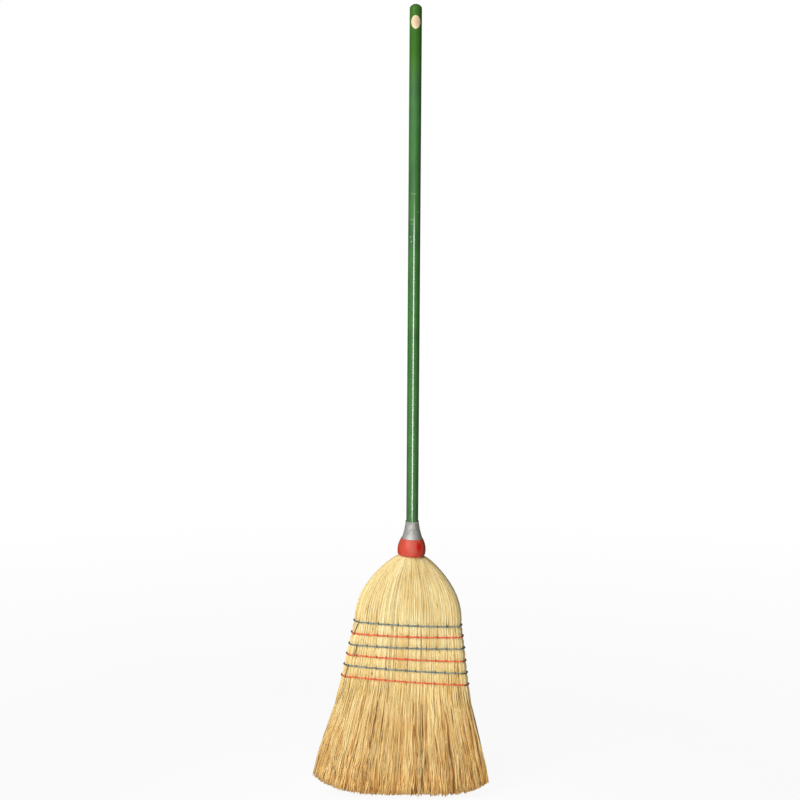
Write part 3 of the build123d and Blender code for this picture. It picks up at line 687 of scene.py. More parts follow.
@dataclass(frozen=True)
class HeadForm:
    """Outer form of the sewn head and its loose skirt, with heights along the head's own leaning axis."""

    height: float = 469.0
    lean: float = math.radians(2.4)
    shoulder: float = 129.0
    rise_power: float = 0.58
    swell: float = 0.20
    swell_power: float = 0.85
    neck_radius: float = 18.7
    first_half_width: float = 101.0
    last_half_width: float = 120.0
    first_half_depth: float = 27.0
    last_half_depth: float = 20.0
    row_pitch: float = 22.0
    row_skews: tuple[float, ...] = (0.0, -0.6, -0.5, 0.7, 1.3, 1.6)
    skew_fade: float = 60.0
    pinch: float = 1.7
    pinch_reach: float = 5.5
    flex_height: float = 209.8
    sweep_half_width: float = 168.0
    sweep_half_depth: float = 33.0
    sweep_limit: float = 1.25
    bow: float = 33.0
    bow_power: float = 3.8
    trim: float = 0.5
    end_rounding: float = 0.65
    full_power: float = 2.6
    thinnest: float = 0.02

    def row_heights(self) -> np.ndarray:
        """Heights of the sewn rows, from the top."""
        return self.height - self.shoulder - self.row_pitch * np.arange(len(self.row_skews))

    def half_sizes(self, up: np.ndarray) -> tuple[np.ndarray, np.ndarray]:
        """Half width and half depth of the outline.

        Args:
            up: Heights along the head.

        Returns:
            Half widths and half depths at those heights.
        """
        rows = self.row_heights()
        share = np.clip((self.height - up) / self.shoulder, 0, 1)
        rise = share**self.rise_power * (1 + self.swell * np.sin(math.pi * share**self.swell_power))
        width = self.neck_radius + (self.first_half_width - self.neck_radius) * rise
        depth = self.neck_radius + (self.first_half_depth - self.neck_radius) * rise
        sewn = (rows[0] - np.maximum(up, self.flex_height)) / (rows[0] - rows[-1])
        wider = self.last_half_width - self.first_half_width
        thinner = self.last_half_depth - self.first_half_depth
        width = np.where(sewn > 0, self.first_half_width + wider * sewn, width)
        depth = np.where(sewn > 0, self.first_half_depth + thinner * np.clip(sewn, 0, 1), depth)
        loose = np.clip((self.flex_height - up) / (self.flex_height - self.bow), 0, self.sweep_limit)
        flex_width = self.first_half_width + wider * (rows[0] - self.flex_height) / (rows[0] - rows[-1])
        width = width + (self.sweep_half_width - flex_width) * loose
        depth = depth + (self.sweep_half_depth - self.last_half_depth) * loose
        return width, depth

    def arcs(self, up: np.ndarray) -> tuple[np.ndarray, ...]:
        """The tangent arcs of the outline, a broad face and a rounded end.

        Args:
            up: Heights along the head.

        Returns:
            Depth of the face's centre, radius of the face, length of half the face, how far across the end's
            centre is, radius of the end, and the angle that half the end turns.
        """
        width, depth = self.half_sizes(up)
        end = self.end_rounding * depth
        end_x = width - end
        face = (end_x**2 + depth**2 - end**2) / (2 * (depth - end))
        centre = face - depth
        end_turn = np.arctan2(centre, end_x)
        return centre, face, face * (math.pi / 2 - end_turn), end_x, end, end_turn

    def outline(
        self, share: np.ndarray, up: np.ndarray, out: np.ndarray | float
    ) -> tuple[np.ndarray, np.ndarray]:
        """Points on the front outline, four tangent arcs at each height.

        Args:
            share: Place along the front, from the left end at -1 to the right end at 1.
            up: Heights along the head.
            out: How far outside the outline, in millimetres.

        Returns:
            How far across the points lie, and how far in depth.
        """
        centre, face, face_length, end_x, end, end_turn = self.arcs(up)
        along = np.abs(share) * (face_length + end * end_turn)
        on_face = along / face
        round_end = end_turn - (along - face_length) / end
        flat = along <= face_length
        x = np.where(flat, (face + out) * np.sin(on_face), end_x + (end + out) * np.cos(round_end))
        y = np.where(flat, centre - (face + out) * np.cos(on_face), -(end + out) * np.sin(round_end))
        return np.where(share >= 0, x, -x), y

    def front_length(self, up: np.ndarray) -> np.ndarray:
        """Length of half the front outline, from the middle to the end."""
        _, _, face_length, _, end, end_turn = self.arcs(up)
        return face_length + end * end_turn

    def fullness(self, across: np.ndarray) -> np.ndarray:
        """Share of the half depth left this far across, about an ellipse with fuller ends."""
        return np.maximum(1 - np.abs(across) ** self.full_power, self.thinnest) ** 0.5

    def skew_at(self, up: np.ndarray) -> np.ndarray:
        """Slope of the sewing at a height, between the rows' own slopes.

        Args:
            up: Heights along the head.

        Returns:
            The slopes in radians.
        """
        rows = self.row_heights()[::-1]
        slopes = np.radians(np.array(self.row_skews[::-1]))
        heights = np.concatenate([[self.flex_height - self.skew_fade], rows, [rows[-1] + self.skew_fade]])
        return np.interp(up, heights, np.concatenate([[0.0], slopes, [0.0]]))

    def pinch_at(self, up: np.ndarray) -> np.ndarray:
        """How far the twine draws the straw in at a height."""
        near = np.abs(np.asarray(up)[..., None] - self.row_heights()).min(axis=-1)
        return self.pinch * np.exp(-((near / self.pinch_reach) ** 2))

    def world(self, across: np.ndarray, deep: np.ndarray, up: np.ndarray) -> np.ndarray:
        """Points of the shared frame, in millimetres.

        Args:
            across: How far across the head.
            deep: How far in depth, the front negative.
            up: Heights along the head.

        Returns:
            The points, with their three axes last.
        """
        across, deep, up = np.broadcast_arrays(across, deep, up)
        foot = -self.bow * math.sin(self.lean)
        x = foot + across * math.cos(self.lean) + up * math.sin(self.lean)
        z = -self.trim - across * math.sin(self.lean) + up * math.cos(self.lean)
        return np.stack([x, deep, z], -1)

    def sewn(self, x: np.ndarray, y: np.ndarray, up: np.ndarray) -> np.ndarray:
        """Points of the shared frame on straw that slopes with the sewing, in millimetres."""
        return self.world(x, y, up - x * np.tan(self.skew_at(up)))

    def on_axis(self, up: float) -> np.ndarray:
        """Point of the head's axis at a height, in millimetres."""
        return self.world(np.array(0.0), np.array(0.0), np.array(up))

    def axis(self) -> Point:
        """Direction of the head's axis."""
        return (math.sin(self.lean), 0.0, math.cos(self.lean))


class Side(Enum):
    """The two broad faces of the head, with the sign of their depth."""

    FRONT = 1
    BACK = -1


class Bundle(Enum):
    """The five bundles of loose sorghum, each with its node and its shares across and in depth."""

    LEFT = ("left_bristles", (-1.0, -0.4375), (-1.0, 1.0))
    RIGHT = ("right_bristles", (0.4375, 1.0), (-1.0, 1.0))
    FRONT = ("front_bristles", (-0.4375, 0.4375), (-1.0, -1 / 3))
    CORE = ("core_bristles", (-0.4375, 0.4375), (-1 / 3, 1 / 3))
    BACK = ("back_bristles", (-0.4375, 0.4375), (1 / 3, 1.0))


@dataclass
class Stick:
    """Lacquered wooden stick with a domed top, tapered where the stalks are bound to it, and its paper label.

    The label's rings have shares of its size and lifts in shares of the paper's thickness.
    """

    tip_diameter: float = 13.0
    tip_bevel: float = 1.0
    bottom: float = 380.06
    taper_top: float = 535.06
    taper_rings: int = 8
    top: float = 1480.06
    dome: float = 7.0
    straight_rings: int = 60
    straight_end: float = 2.5
    edge_in: float = 0.08
    edge_down: float = 0.9
    edge_turn: float = 2.5
    dome_rings: int = 14
    segments: int = 72
    label_width: float = 16.6
    label_height: float = 24.0
    label_below_top: float = 32.2
    label_paper: float = 0.15
    label_segments: int = 96
    label_shares: tuple[float, ...] = (0.0, 0.25, 0.5, 0.75, 0.92, 0.99, 1.0, 1.0)
    label_lifts: tuple[float, ...] = (1.0, 1.0, 1.0, 1.0, 1.0, 0.9, 0.6, 0.1)

    def build(self) -> list[bpy.types.Object]:
        """Build the stick and its label.

        Returns:
            The two pieces.
        """
        radius, tip = STICK_DIAMETER / 2, self.tip_diameter / 2
        curve = (radius**2 + self.dome**2) / (2 * self.dome)
        spring = math.degrees(math.asin((curve - self.dome) / curve))
        bevelled = self.bottom + self.tip_bevel
        taper = self.taper_top - self.bottom - self.tip_bevel
        shoulder = self.top - self.dome
        profile = [(0.0, self.bottom), (tip - self.tip_bevel, self.bottom), (tip, bevelled)]
        for k in range(1, self.taper_rings + 1):
            grown = tip + (radius - tip) * k / self.taper_rings
            profile.append((grown, bevelled + taper * k / self.taper_rings))
        straight = np.linspace(self.taper_top, shoulder - self.straight_end, self.straight_rings)
        profile += [(radius, height) for height in straight[1:]]
        profile.append((radius - self.edge_in, shoulder - self.edge_down))
        profile += arc((0.0, self.top - curve), curve, spring + self.edge_turn, 90, self.dome_rings)
        foot = (STICK_X, 0, 0)
        stick = turned_piece("lacquered_stick", profile, foot, UPRIGHT, self.segments, closed=False)
        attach(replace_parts(stick, "handle"), HEAD)
        GREEN_LACQUER.dress(stick)
        return [stick, self.build_label()]

    def build_label(self) -> bpy.types.Object:
        """Build the bare oval sticker, wrapped round the stick.

        Returns:
            The piece.
        """
        radius = STICK_DIAMETER / 2
        middle = self.top - self.label_below_top
        turn = round_angles(self.label_segments)
        rings = []
        for share, lift in zip(self.label_shares, self.label_lifts):
            angle = np.arcsin(share * self.label_width / 2 * np.cos(turn) / radius)
            reach = radius + lift * self.label_paper
            height = middle + share * self.label_height / 2 * np.sin(turn)
            rings.append(np.stack([STICK_X + reach * np.sin(angle), -reach * np.cos(angle), height], -1))
        points = np.concatenate(rings)
        walls = quads(np.arange(len(points)).reshape(-1, self.label_segments))
        label = new_piece("paper_label", points * MM, [np.roll(walls, -1, axis=1)])
        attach(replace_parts(label, "handle_label"), HEAD)
        CREAM_PAPER.dress(label)
        return label


@dataclass
class Neck:
    """Sheet-metal cone with a rolled rim, the red collar below it, and the fastenings inside.

    The pressed groove is a run of points, each with its way along the cone and its share of the depth. The
    collar's foot and lip are runs of points, each with its way out and up from the mouth or the top edge.
    """

    form: HeadForm
    cone_base: float = 495.06
    cone_height: float = 38.0
    cone_band: float = 4.0
    cone_segments: int = 120
    rim_diameter: float = 24.6
    base_diameter: float = 41.8
    sheet: float = 0.6
    cut_edge: Range = (0.15, 0.2)
    wall_start: float = 1.0
    wall_end: float = 0.8
    wall_rings: tuple[int, int] = (7, 6)
    band_start: float = 0.4
    band_end: float = 2.2
    inside_start: float = 2.4
    inside_end: float = 0.8
    bead: float = 0.6
    bead_inset: float = 0.25
    bead_turn: Range = (-50.0, 180.0)
    bead_rings: int = 10
    hollow: float = 0.9
    seam_angle: float = 196.0
    seam_creep: float = 0.6
    groove_below_rim: float = 16.0
    groove_depth: float = 0.42
    groove_reach: float = 2.2
    groove_points: tuple[Range, ...] = ((-1.1, 0.25), (-0.5, 0.8), (0.0, 1.0), (0.5, 0.8), (1.1, 0.25))
    collar_height: float = 32.5
    collar_diameter: float = 50.4
    collar_lower_diameter: float = 51.4
    collar_mouth: float = 39.2
    collar_top_diameter: float = 41.0
    collar_wall: float = 1.5
    collar_round: float = 4.4
    collar_round_rings: int = 10
    collar_fullness: float = 0.7
    collar_rings: int = 18
    collar_top_edge: Range = (0.3, 1.2)
    collar_foot: tuple[Range, ...] = ((0.0, 0.2), (0.15, 0.0))
    collar_lip: tuple[Range, ...] = ((0.15, -0.35), (-0.35, 0.0), (-0.95, -0.2), (-1.0, -1.0), (0.3, -6.2))
    collar_inside_heights: Point = (13.0, 5.0, 1.5)
    collar_segments: int = 96

    def build(self) -> list[bpy.types.Object]:
        """Build the cone and the collar and dress the fastenings.

        Returns:
            The pieces, the solids of the fastenings among them.
        """
        pieces = [self.build_cone(), self.build_collar()]
        fastenings = {"ferrule_nails": NAIL_STEEL, "wire_nails": NAIL_STEEL, "binding_wire": WIRE_STEEL}
        for node, finish in fastenings.items():
            finish.dress(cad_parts[node])
            pieces.append(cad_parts[node])
        return pieces

    def cone_radius(self, height: float) -> float:
        """Outer radius of the cone, a little hollow between rim and base.

        Args:
            height: Height above its lower edge.

        Returns:
            The radius.
        """
        rim, base = self.rim_diameter / 2, self.base_diameter / 2
        taper = self.cone_height - self.cone_band
        share = (taper - height) / taper
        return rim + (base - rim) * share - self.hollow * math.sin(math.pi * min(max(share, 0.0), 1.0))

    def build_cone(self) -> bpy.types.Object:
        """Build the sheet-metal cone with its rolled rim, pressed groove, cut lower edge and lapped seam.

        Returns:
            The piece.
        """
        rim, base = self.rim_diameter / 2, self.base_diameter / 2
        top, sheet = self.cone_height, self.sheet
        taper = top - self.cone_band
        groove = top - self.groove_below_rim
        reach = self.groove_reach
        bevel, rise = self.cut_edge
        below, above = self.wall_rings
        profile = [(base - sheet, 0.0), (base - bevel, 0.0), (base, rise)]
        profile += [(self.cone_radius(h), h) for h in np.linspace(self.wall_start, groove - reach, below)]
        for step, share in self.groove_points:
            profile.append((self.cone_radius(groove + step) - share * self.groove_depth, groove + step))
        wall = np.linspace(groove + reach, taper - self.wall_end, above)
        profile += [(self.cone_radius(h), h) for h in wall]
        profile += [(rim, taper + self.band_start), (rim, top - self.band_end)]
        bead_centre = (rim - self.bead_inset, top - self.bead)
        profile += arc(bead_centre, self.bead, *self.bead_turn, self.bead_rings)
        profile += [(rim - sheet, top - self.inside_start), (rim - sheet, taper)]
        profile += [(self.cone_radius(taper / 2) - sheet, taper / 2), (base - sheet, self.inside_end)]
        foot = (STICK_X, 0, self.cone_base)
        cone = turned_piece("sheet_cone", profile, foot, UPRIGHT, self.cone_segments, closed=True)
        self.lap(cone)
        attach(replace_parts(cone, "ferrule"), HEAD)
        ZINC_SHEET.dress(cone)
        return cone

    def lap(self, cone: bpy.types.Object) -> None:
        """Let the sheet creep outwards round the cone, so that one edge laps over the other.

        Args:
            cone: The cone.
        """
        middle = STICK_X * MM
        for corner in cone.data.vertices:
            x, y = corner.co.x - middle, corner.co.y
            reach = math.hypot(x, y)
            turn = (math.atan2(y, x) - math.radians(self.seam_angle)) % TURN
            grown = (reach + self.sheet * MM * self.seam_creep * (turn / TURN) ** 3) / reach
            corner.co.x = middle + x * grown
            corner.co.y = y * grown

    def build_collar(self) -> bpy.types.Object:
        """Build the moulded collar with its rounded belly and turned-in lower edge.

        Returns:
            The piece.
        """
        top, lower = self.collar_top_diameter / 2, self.collar_lower_diameter / 2
        belly, mouth = self.collar_diameter / 2, self.collar_mouth / 2
        rounding, rim, wall = self.collar_round, self.collar_height, self.collar_wall
        lip_out, lip_down = self.collar_top_edge
        profile = [(mouth + out, up) for out, up in self.collar_foot]
        profile += arc((lower - rounding, rounding), rounding, -90, 0, self.collar_round_rings)
        way = np.linspace(0.0, 1.0, self.collar_rings)[1:]
        rise = rim - lip_down - rounding
        pull = 2 * belly - (lower + top) / 2 + self.collar_fullness
        edge = (1 - way) ** 2 * lower + 2 * way * (1 - way) * pull + way**2 * (top + lip_out)
        profile += [(float(e), rounding + rise * float(w)) for e, w in zip(edge, way)]
        profile += [(top + out, rim + up) for out, up in self.collar_lip]
        profile += zip((belly - wall, lower - wall, mouth), self.collar_inside_heights)
        foot, axis = tuple(self.form.on_axis(self.form.height)), self.form.axis()
        collar = turned_piece("moulded_collar", profile, foot, axis, self.collar_segments, closed=True)
        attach(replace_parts(collar, "collar"), HEAD)
        RED_POLYTHENE.dress(collar)
        return collar


@dataclass(kw_only=True)
class Straw:
    """What all straw of the head shares: its form, its random draws and how it drifts.

    A drift or shade says how far a strand's place or tone wanders and over what length. A spread is the two
    powers of a beta draw.
    """

    form: HeadForm
    rng: np.random.Generator
    reach_from: float = 475.0
    bend_start: float = 224.0
    bend_end: float = 165.0
    drift_pace: Range = (0.7, 1.5)
    ripple: Range = (0.5, 2.3)

    def bend(self, piece: bpy.types.Object) -> None:
        """Bake a piece's placing into its mesh; the axis points above the last row and in the skirt are found
        but not used.

        Args:
            piece: The piece.
        """
        start = self.form.on_axis(self.bend_start) * MM
        end = self.form.on_axis(self.bend_end) * MM
        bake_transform(piece)

    def wander(self, up: np.ndarray, drift: Range) -> np.ndarray:
        """Slow drift of each strand along its length.

        Args:
            up: Heights, as strand and ring.
            drift: How far a strand drifts and the length of a drift.

        Returns:
            The drift at each ring.
        """
        reach, wave = drift
        phase = self.rng.uniform(0, TURN, (2, len(up), 1))
        pace = TURN / (wave * self.rng.uniform(*self.drift_pace, (2, len(up), 1)))
        size, speed = self.ripple
        return reach * (np.sin(pace[0] * up + phase[0]) + size * np.sin(speed * pace[1] * up + phase[1]))

    def chance(self, share: np.ndarray | float, shape: tuple[int, ...]) -> np.ndarray:
        """Whether each of many draws falls in a share."""
        return self.rng.uniform(0, 1, shape) < share

    def marks(self, tone: np.ndarray, up: np.ndarray) -> Marks:
        """Tone of straw, and its reach from the neck to the tips."""
        return {"tone": np.clip(tone, 0, 1), "reach": 1 - up / self.reach_from}


@dataclass(kw_only=True)
class PackedCore(Straw):
    """Packed straw behind the stalks, with a dark tone as painted shade where it shows between them."""

    inset: float = 4.2
    # painted shade: a dark tone for the shade behind and between the stalks
    tone: float = 0.86
    top: float = 474.5
    sewn_part: Range = (332.0, 222.0)
    first_step: float = 0.08
    rings: int = 14
    sides: int = 60

    def build(self) -> list[bpy.types.Object]:
        """Build the core.

        Returns:
            The one piece.
        """
        form = self.form
        rounded = form.height - form.shoulder * np.linspace(self.first_step, 1, self.rings) ** 2
        sewn = np.linspace(*self.sewn_part, self.rings)
        heights = np.concatenate([[self.top, form.height], rounded, sewn])[:, None]
        up = np.repeat(heights, self.sides, axis=1)
        x, y = form.outline(np.linspace(-1, 1, self.sides)[None], up, -self.inset)
        front, back = form.sewn(x, y, up), form.sewn(x, -y, up)
        points = np.concatenate([front, back[:, 1:-1][:, ::-1]], axis=1)
        rings, sides, _ = points.shape
        index = np.arange(rings * sides).reshape(rings, sides)
        faces = [quads(index)[:, [0, 3, 2, 1]], np.stack([index[0], index[-1, ::-1]])]
        # painted shade: the whole core gets the dark tone
        marks = self.marks(np.full((rings, sides), self.tone), np.repeat(heights, sides, axis=1))
        core = new_piece("packed_core", points.reshape(-1, 3) * MM, faces, marks)
        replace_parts(core, "core_bundle", "left_shoulder_bundle", "right_shoulder_bundle")
        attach(core, HEAD)
        STALK_STRAW.dress(core)
        return [core]


@dataclass(kw_only=True)
class Stalks(Straw):
    """Long stalks on both faces, an outer layer over an under layer painted darker as shade, drawn in by the
    twine.
    """

    stitches: Callable[[int], np.ndarray]
    outer: int = 118
    under: int = 112
    sides: int = 5
    radius: float = 1.25
    sizes: Range = (0.62, 1.30)
    thinnest: float = 0.12
    taper: float = 55.0
    taper_power: float = 0.6
    jitter: float = 0.4
    tops: Range = (475.0, 472.0)
    shoulder: float = 119.0
    shoulder_rings: int = 15
    row_steps: tuple[float, ...] = (4.5, 0.0, -4.5, -11.0)
    loose_rings: int = 9
    loose_start: float = 0.12
    loose_from: float = 226.0
    loose_over: float = 60.0
    under_ends: Range = (150.0, 215.0)
    outer_end: float = 218.0
    outer_fray: float = 105.0
    spread: Range = (1.1, 2.2)
    pack_limits: Range = (0.2, 1.15)
    pack_power: float = 0.75
    drift: Range = (0.5, 230.0)
    drift_packed: float = 0.4
    drift_loose: float = 2.4
    proud: Range = (-0.85, 0.4)
    least_proud: float = 0.4
    gap: float = 0.2
    under_depth: float = 1.5
    # painted shade: the under layer gets a darker tone
    under_painted_shade: float = 0.25
    end_sink: float = 3.0
    end_sink_over: float = 40.0
    crease: float = 2.0
    crease_reach: Range = (1.2, 9.0)
    crease_most: float = 1.3
    shade: Range = (0.14, 110.0)
    fleck_share: float = 0.035
    fleck_tone: float = 0.4
    fleck_seed: int = 425

    def build(self) -> list[bpy.types.Object]:
        """Both faces of stalks."""
        return [self.build_face(side) for side in Side]

    def creases(self, along: np.ndarray, up: np.ndarray) -> np.ndarray:
        """How far the stitches draw the straw in beside them.

        Args:
            along: Places along a face from its middle, in millimetres.
            up: Heights along the head.

        Returns:
            The depth of the creases there.
        """
        wide, tall = self.crease_reach
        depth = np.zeros(np.broadcast(along, up).shape)
        for row, height in enumerate(self.form.row_heights()):
            near = np.abs(along[..., None] - self.stitches(row)).min(axis=-1)
            depth += self.crease * np.exp(-((near / wide) ** 2) - ((up - height) / tall) ** 2)
        return np.minimum(depth, self.crease_most * self.crease)

    def heights(self, end: np.ndarray) -> np.ndarray:
        """Heights of the stalks' rings, close together at the shoulder and the rows.

        Args:
            end: Height of each stalk's end.

        Returns:
            The heights, as stalk and ring.
        """
        shoulder = self.form.height - self.shoulder * np.linspace(0, 1, self.shoulder_rings) ** 2
        sewn = [height + step for height in self.form.row_heights() for step in self.row_steps]
        fixed = np.sort(np.concatenate([self.tops, shoulder, sewn]))[::-1]
        below = fixed[-1] + (end - fixed[-1]) * np.linspace(self.loose_start, 1, self.loose_rings)
        return np.concatenate([np.repeat(fixed[None], len(end), axis=0), below], axis=1)

    def build_face(self, side: Side) -> bpy.types.Object:
        """Build one face of stalks, from inside the collar to below the last row.

        Args:
            side: The face.

        Returns:
            The piece.
        """
        form, rng = self.form, self.rng
        layers = (self.outer, self.under)
        column = (sum(layers), 1)
        under = np.repeat([0.0, 1.0], layers)[:, None]
        place = np.concatenate([np.linspace(-1, 1, n) for n in layers])[:, None]
        place = np.clip(place + rng.normal(0, self.jitter, column) / self.outer, -1, 1)
        hidden_end = rng.uniform(*self.under_ends, column)
        shown_end = self.outer_end - self.outer_fray * rng.beta(*self.spread, column)
        end = np.where(under > 0, hidden_end, shown_end)
        up = self.heights(end)
        below = up < self.loose_from
        length = form.front_length(up)
        widest = form.front_length(form.row_heights()[0])
        pack = np.clip(length / widest, *self.pack_limits) ** self.pack_power
        own = self.radius * rng.uniform(*self.sizes, column)
        taper = np.clip((up - end) / self.taper, 0, 1) ** self.taper_power
        radii = np.maximum(own * pack * np.where(below, taper, 1.0), self.thinnest)
        loose = np.clip((self.loose_from - up) / self.loose_over, 0, 1)
        drift = self.wander(up, self.drift) * (self.drift_packed * pack**2 + self.drift_loose * loose)
        share = np.clip(place + drift / length, -1, 1)
        proud = rng.uniform(*self.proud, column) * np.clip(pack, self.least_proud, 1)
        sunk = self.end_sink * np.clip((up - end) / self.end_sink_over, 0, 1) - self.end_sink
        out = proud - radii - self.gap - self.under_depth * under * pack - form.pinch_at(up) + sunk * below
        x, y = form.outline(share, up, out - self.creases(share * length, up))
        # painted shade: under-layer stalks are darker
        tone = np.clip(rng.beta(*self.spread, column) + self.under_painted_shade * under, 0, 1)
        flecks = np.random.default_rng(self.fleck_seed + side.value).uniform(0, 1, up.shape)
        tone = tone + self.wander(up, self.shade) + self.fleck_tone * (flecks < self.fleck_share)
        name, paths = f"stalks_{side.name.lower()}", form.sewn(x, y * side.value, up)
        stalks = tubes(name, paths, radii, self.sides, DEEP, self.marks(tone, up))
        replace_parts(stalks, f"{side.name.lower()}_cover")
        self.bend(stalks)
        STALK_STRAW.dress(stalks)
        return stalks


@dataclass(kw_only=True)
class Brush(Straw):
    """Loose sorghum below the last row, in five bundles of fine strands that lean together in clumps."""

    strands: int = 4600
    sides: int = 4
    rings: int = 18
    radius: float = 0.82
    taper: Range = (0.2, 1.6)
    size_spread: float = 0.36
    sizes: Range = (0.5, 1.9)
    thinnest: float = 0.16
    root: float = 233.0
    free: float = 212.0
    insets: tuple[Range, ...] = ((0.0, 0.6), (120.0, 1.0), (185.0, 3.2), (233.0, 6.0))
    least_depth: float = 1.0
    skin_share: float = 0.62
    skin_depth: Range = (0.72, 1.0)
    clumps: int = 640
    clump_stretch: float = 60.0
    clump_depth_power: float = 0.6
    clump_pull: Range = (0.05, 0.35)
    clump_pull_power: float = 1.2
    clump_drift: float = 0.014
    clump_spread: Range = (2.0, 3.2)
    clump_sink: float = 0.30
    clump_pace: Range = (0.7, 1.4)
    clump_contrast: float = 0.48
    lean_share: float = 0.8
    lean_deep_share: float = 0.45
    edge_calm: Range = (0.75, 6.0)
    tip_tuck: Range = (0.012, 10.0)
    stray_share: float = 0.22
    strays: Range = (9.0, 3.5)
    short_share: float = 0.25
    short_most: float = 80.0
    worn: float = 5.0
    worn_place: Range = (0.33, 0.36)
    worn_missed: float = 0.06
    crown: float = 9.0
    crown_heart: float = 0.45
    ragged: float = 5.0
    ragged_power: float = 1.5
    trim: float = 0.8
    lowest: float = 0.4
    sway: float = 1.9
    sway_length: float = 88.0
    sway_deep: float = 0.6
    drifts_across: tuple[Range, Range] = ((0.8, 75.0), (0.3, 36.0))
    drifts_deep: tuple[Range, Range] = ((0.7, 80.0), (0.3, 36.0))
    strand_spread: Range = (0.85, 1.7)
    strand_tone: float = 0.266
    strand_middle: float = 0.33
    strand_contrast: float = 0.72
    loose_contrast: float = 0.6
    # painted light: loose strands are made paler towards their tips, where less light reaches the low skirt
    loose_painted_light: float = 0.24
    # painted shade: strands deeper inside the broom get a darker tone
    inner_painted_shade: float = 0.12
    # painted shade: loose strands towards the right get a darker tone
    right_painted_shade: float = 0.16
    shade: Range = (0.08, 60.0)
    spot_share: float = 0.12
    spot_tone: float = 0.3

    def build(self) -> list[bpy.types.Object]:
        """The five bundles, of strands that are placed together."""
        places = self.places()
        return [self.build_bundle(bundle, places) for bundle in Bundle]

    def places(self) -> dict[str, np.ndarray]:
        """Choose where each strand starts, and the clump that it leans to.

        Returns:
            Shares across and in depth of strands, and what their clumps give them.
        """
        rng, count, clumps = self.rng, self.strands, self.clumps
        across = rng.uniform(-1, 1, count)
        skin = self.chance(self.skin_share, (count,))
        outer = rng.choice([-1, 1], count) * rng.uniform(*self.skin_depth, count)
        deep = np.where(skin, outer, rng.uniform(-1, 1, count))
        clump_across = rng.uniform(-1, 1, clumps)
        clump_deep = rng.choice([-1, 1], clumps) * rng.uniform(0, 1, clumps) ** self.clump_depth_power
        aside, behind = across[:, None] - clump_across, deep[:, None] - clump_deep
        nearest = (aside**2 * self.clump_stretch + behind**2).argmin(axis=1)
        of_clump = {
            "across": clump_across,
            "deep": clump_deep,
            "pull": rng.uniform(*self.clump_pull, clumps),
            "drift": rng.normal(0, self.clump_drift, clumps),
            "tone": rng.beta(*self.clump_spread, clumps),
            "sink": self.clump_sink * rng.uniform(0, 1, clumps) ** 2,
            "wave": rng.uniform(0, TURN, clumps),
            "pace": rng.uniform(*self.clump_pace, clumps),
        }
        places = {f"clump_{key}": values[nearest] for key, values in of_clump.items()}
        return {"across": across, "deep": deep, **places}

    def tips(self, end: np.ndarray, deep: np.ndarray) -> np.ndarray:
        """Heights of the strands' tips on the bowed, worn and ragged sweeping edge.

        Args:
            end: Share across of each strand's end.
            deep: Its share in depth.

        Returns:
            The heights.
        """
        form, rng, column = self.form, self.rng, end.shape
        cut_short = self.chance(self.short_share, column)
        short = np.where(cut_short, rng.uniform(0, self.short_most, column), 0.0)
        middle, reach = self.worn_place
        worn = self.worn * np.exp(-(((end - middle) / reach) ** 2)) * ~self.chance(self.worn_missed, column)
        heart = np.minimum(np.abs(deep) / self.crown_heart, 1.0) ** 2
        tip = form.bow * np.abs(end) ** form.bow_power + self.crown * form.fullness(end) * heart + worn
        return tip + self.ragged * rng.uniform(0, 1, column) ** self.ragged_power + short + self.trim

    def tones(self, pick: dict[str, np.ndarray], loose: np.ndarray, up: np.ndarray) -> np.ndarray:
        """Tone of the strands: their own, their clump's, painted shade inside and at the right, painted light
        at the tips, with spots.

        Args:
            pick: Where the strands start and lean to.
            loose: How loose they are at each ring.
            up: Heights of the rings.

        Returns:
            The tone at each ring.
        """
        own = self.rng.beta(*self.strand_spread, pick["across"].shape) - self.strand_middle
        tone = self.strand_tone + (self.strand_contrast + self.loose_contrast * loose) * own
        # painted light: paler towards the tips, to lift the shade low in the skirt
        tone = tone + self.clump_contrast * pick["clump_tone"] - self.loose_painted_light * loose
        # painted shade: strands deeper inside the broom are darker
        tone = tone + self.inner_painted_shade * (1 - np.abs(pick["deep"]))
        # painted shade: loose strands towards the right are darker
        tone = tone + self.right_painted_shade * np.clip(pick["across"], 0, 1) * loose
        spots = self.chance(self.spot_share * loose, up.shape)
        return tone + self.wander(up, self.shade) + self.spot_tone * spots

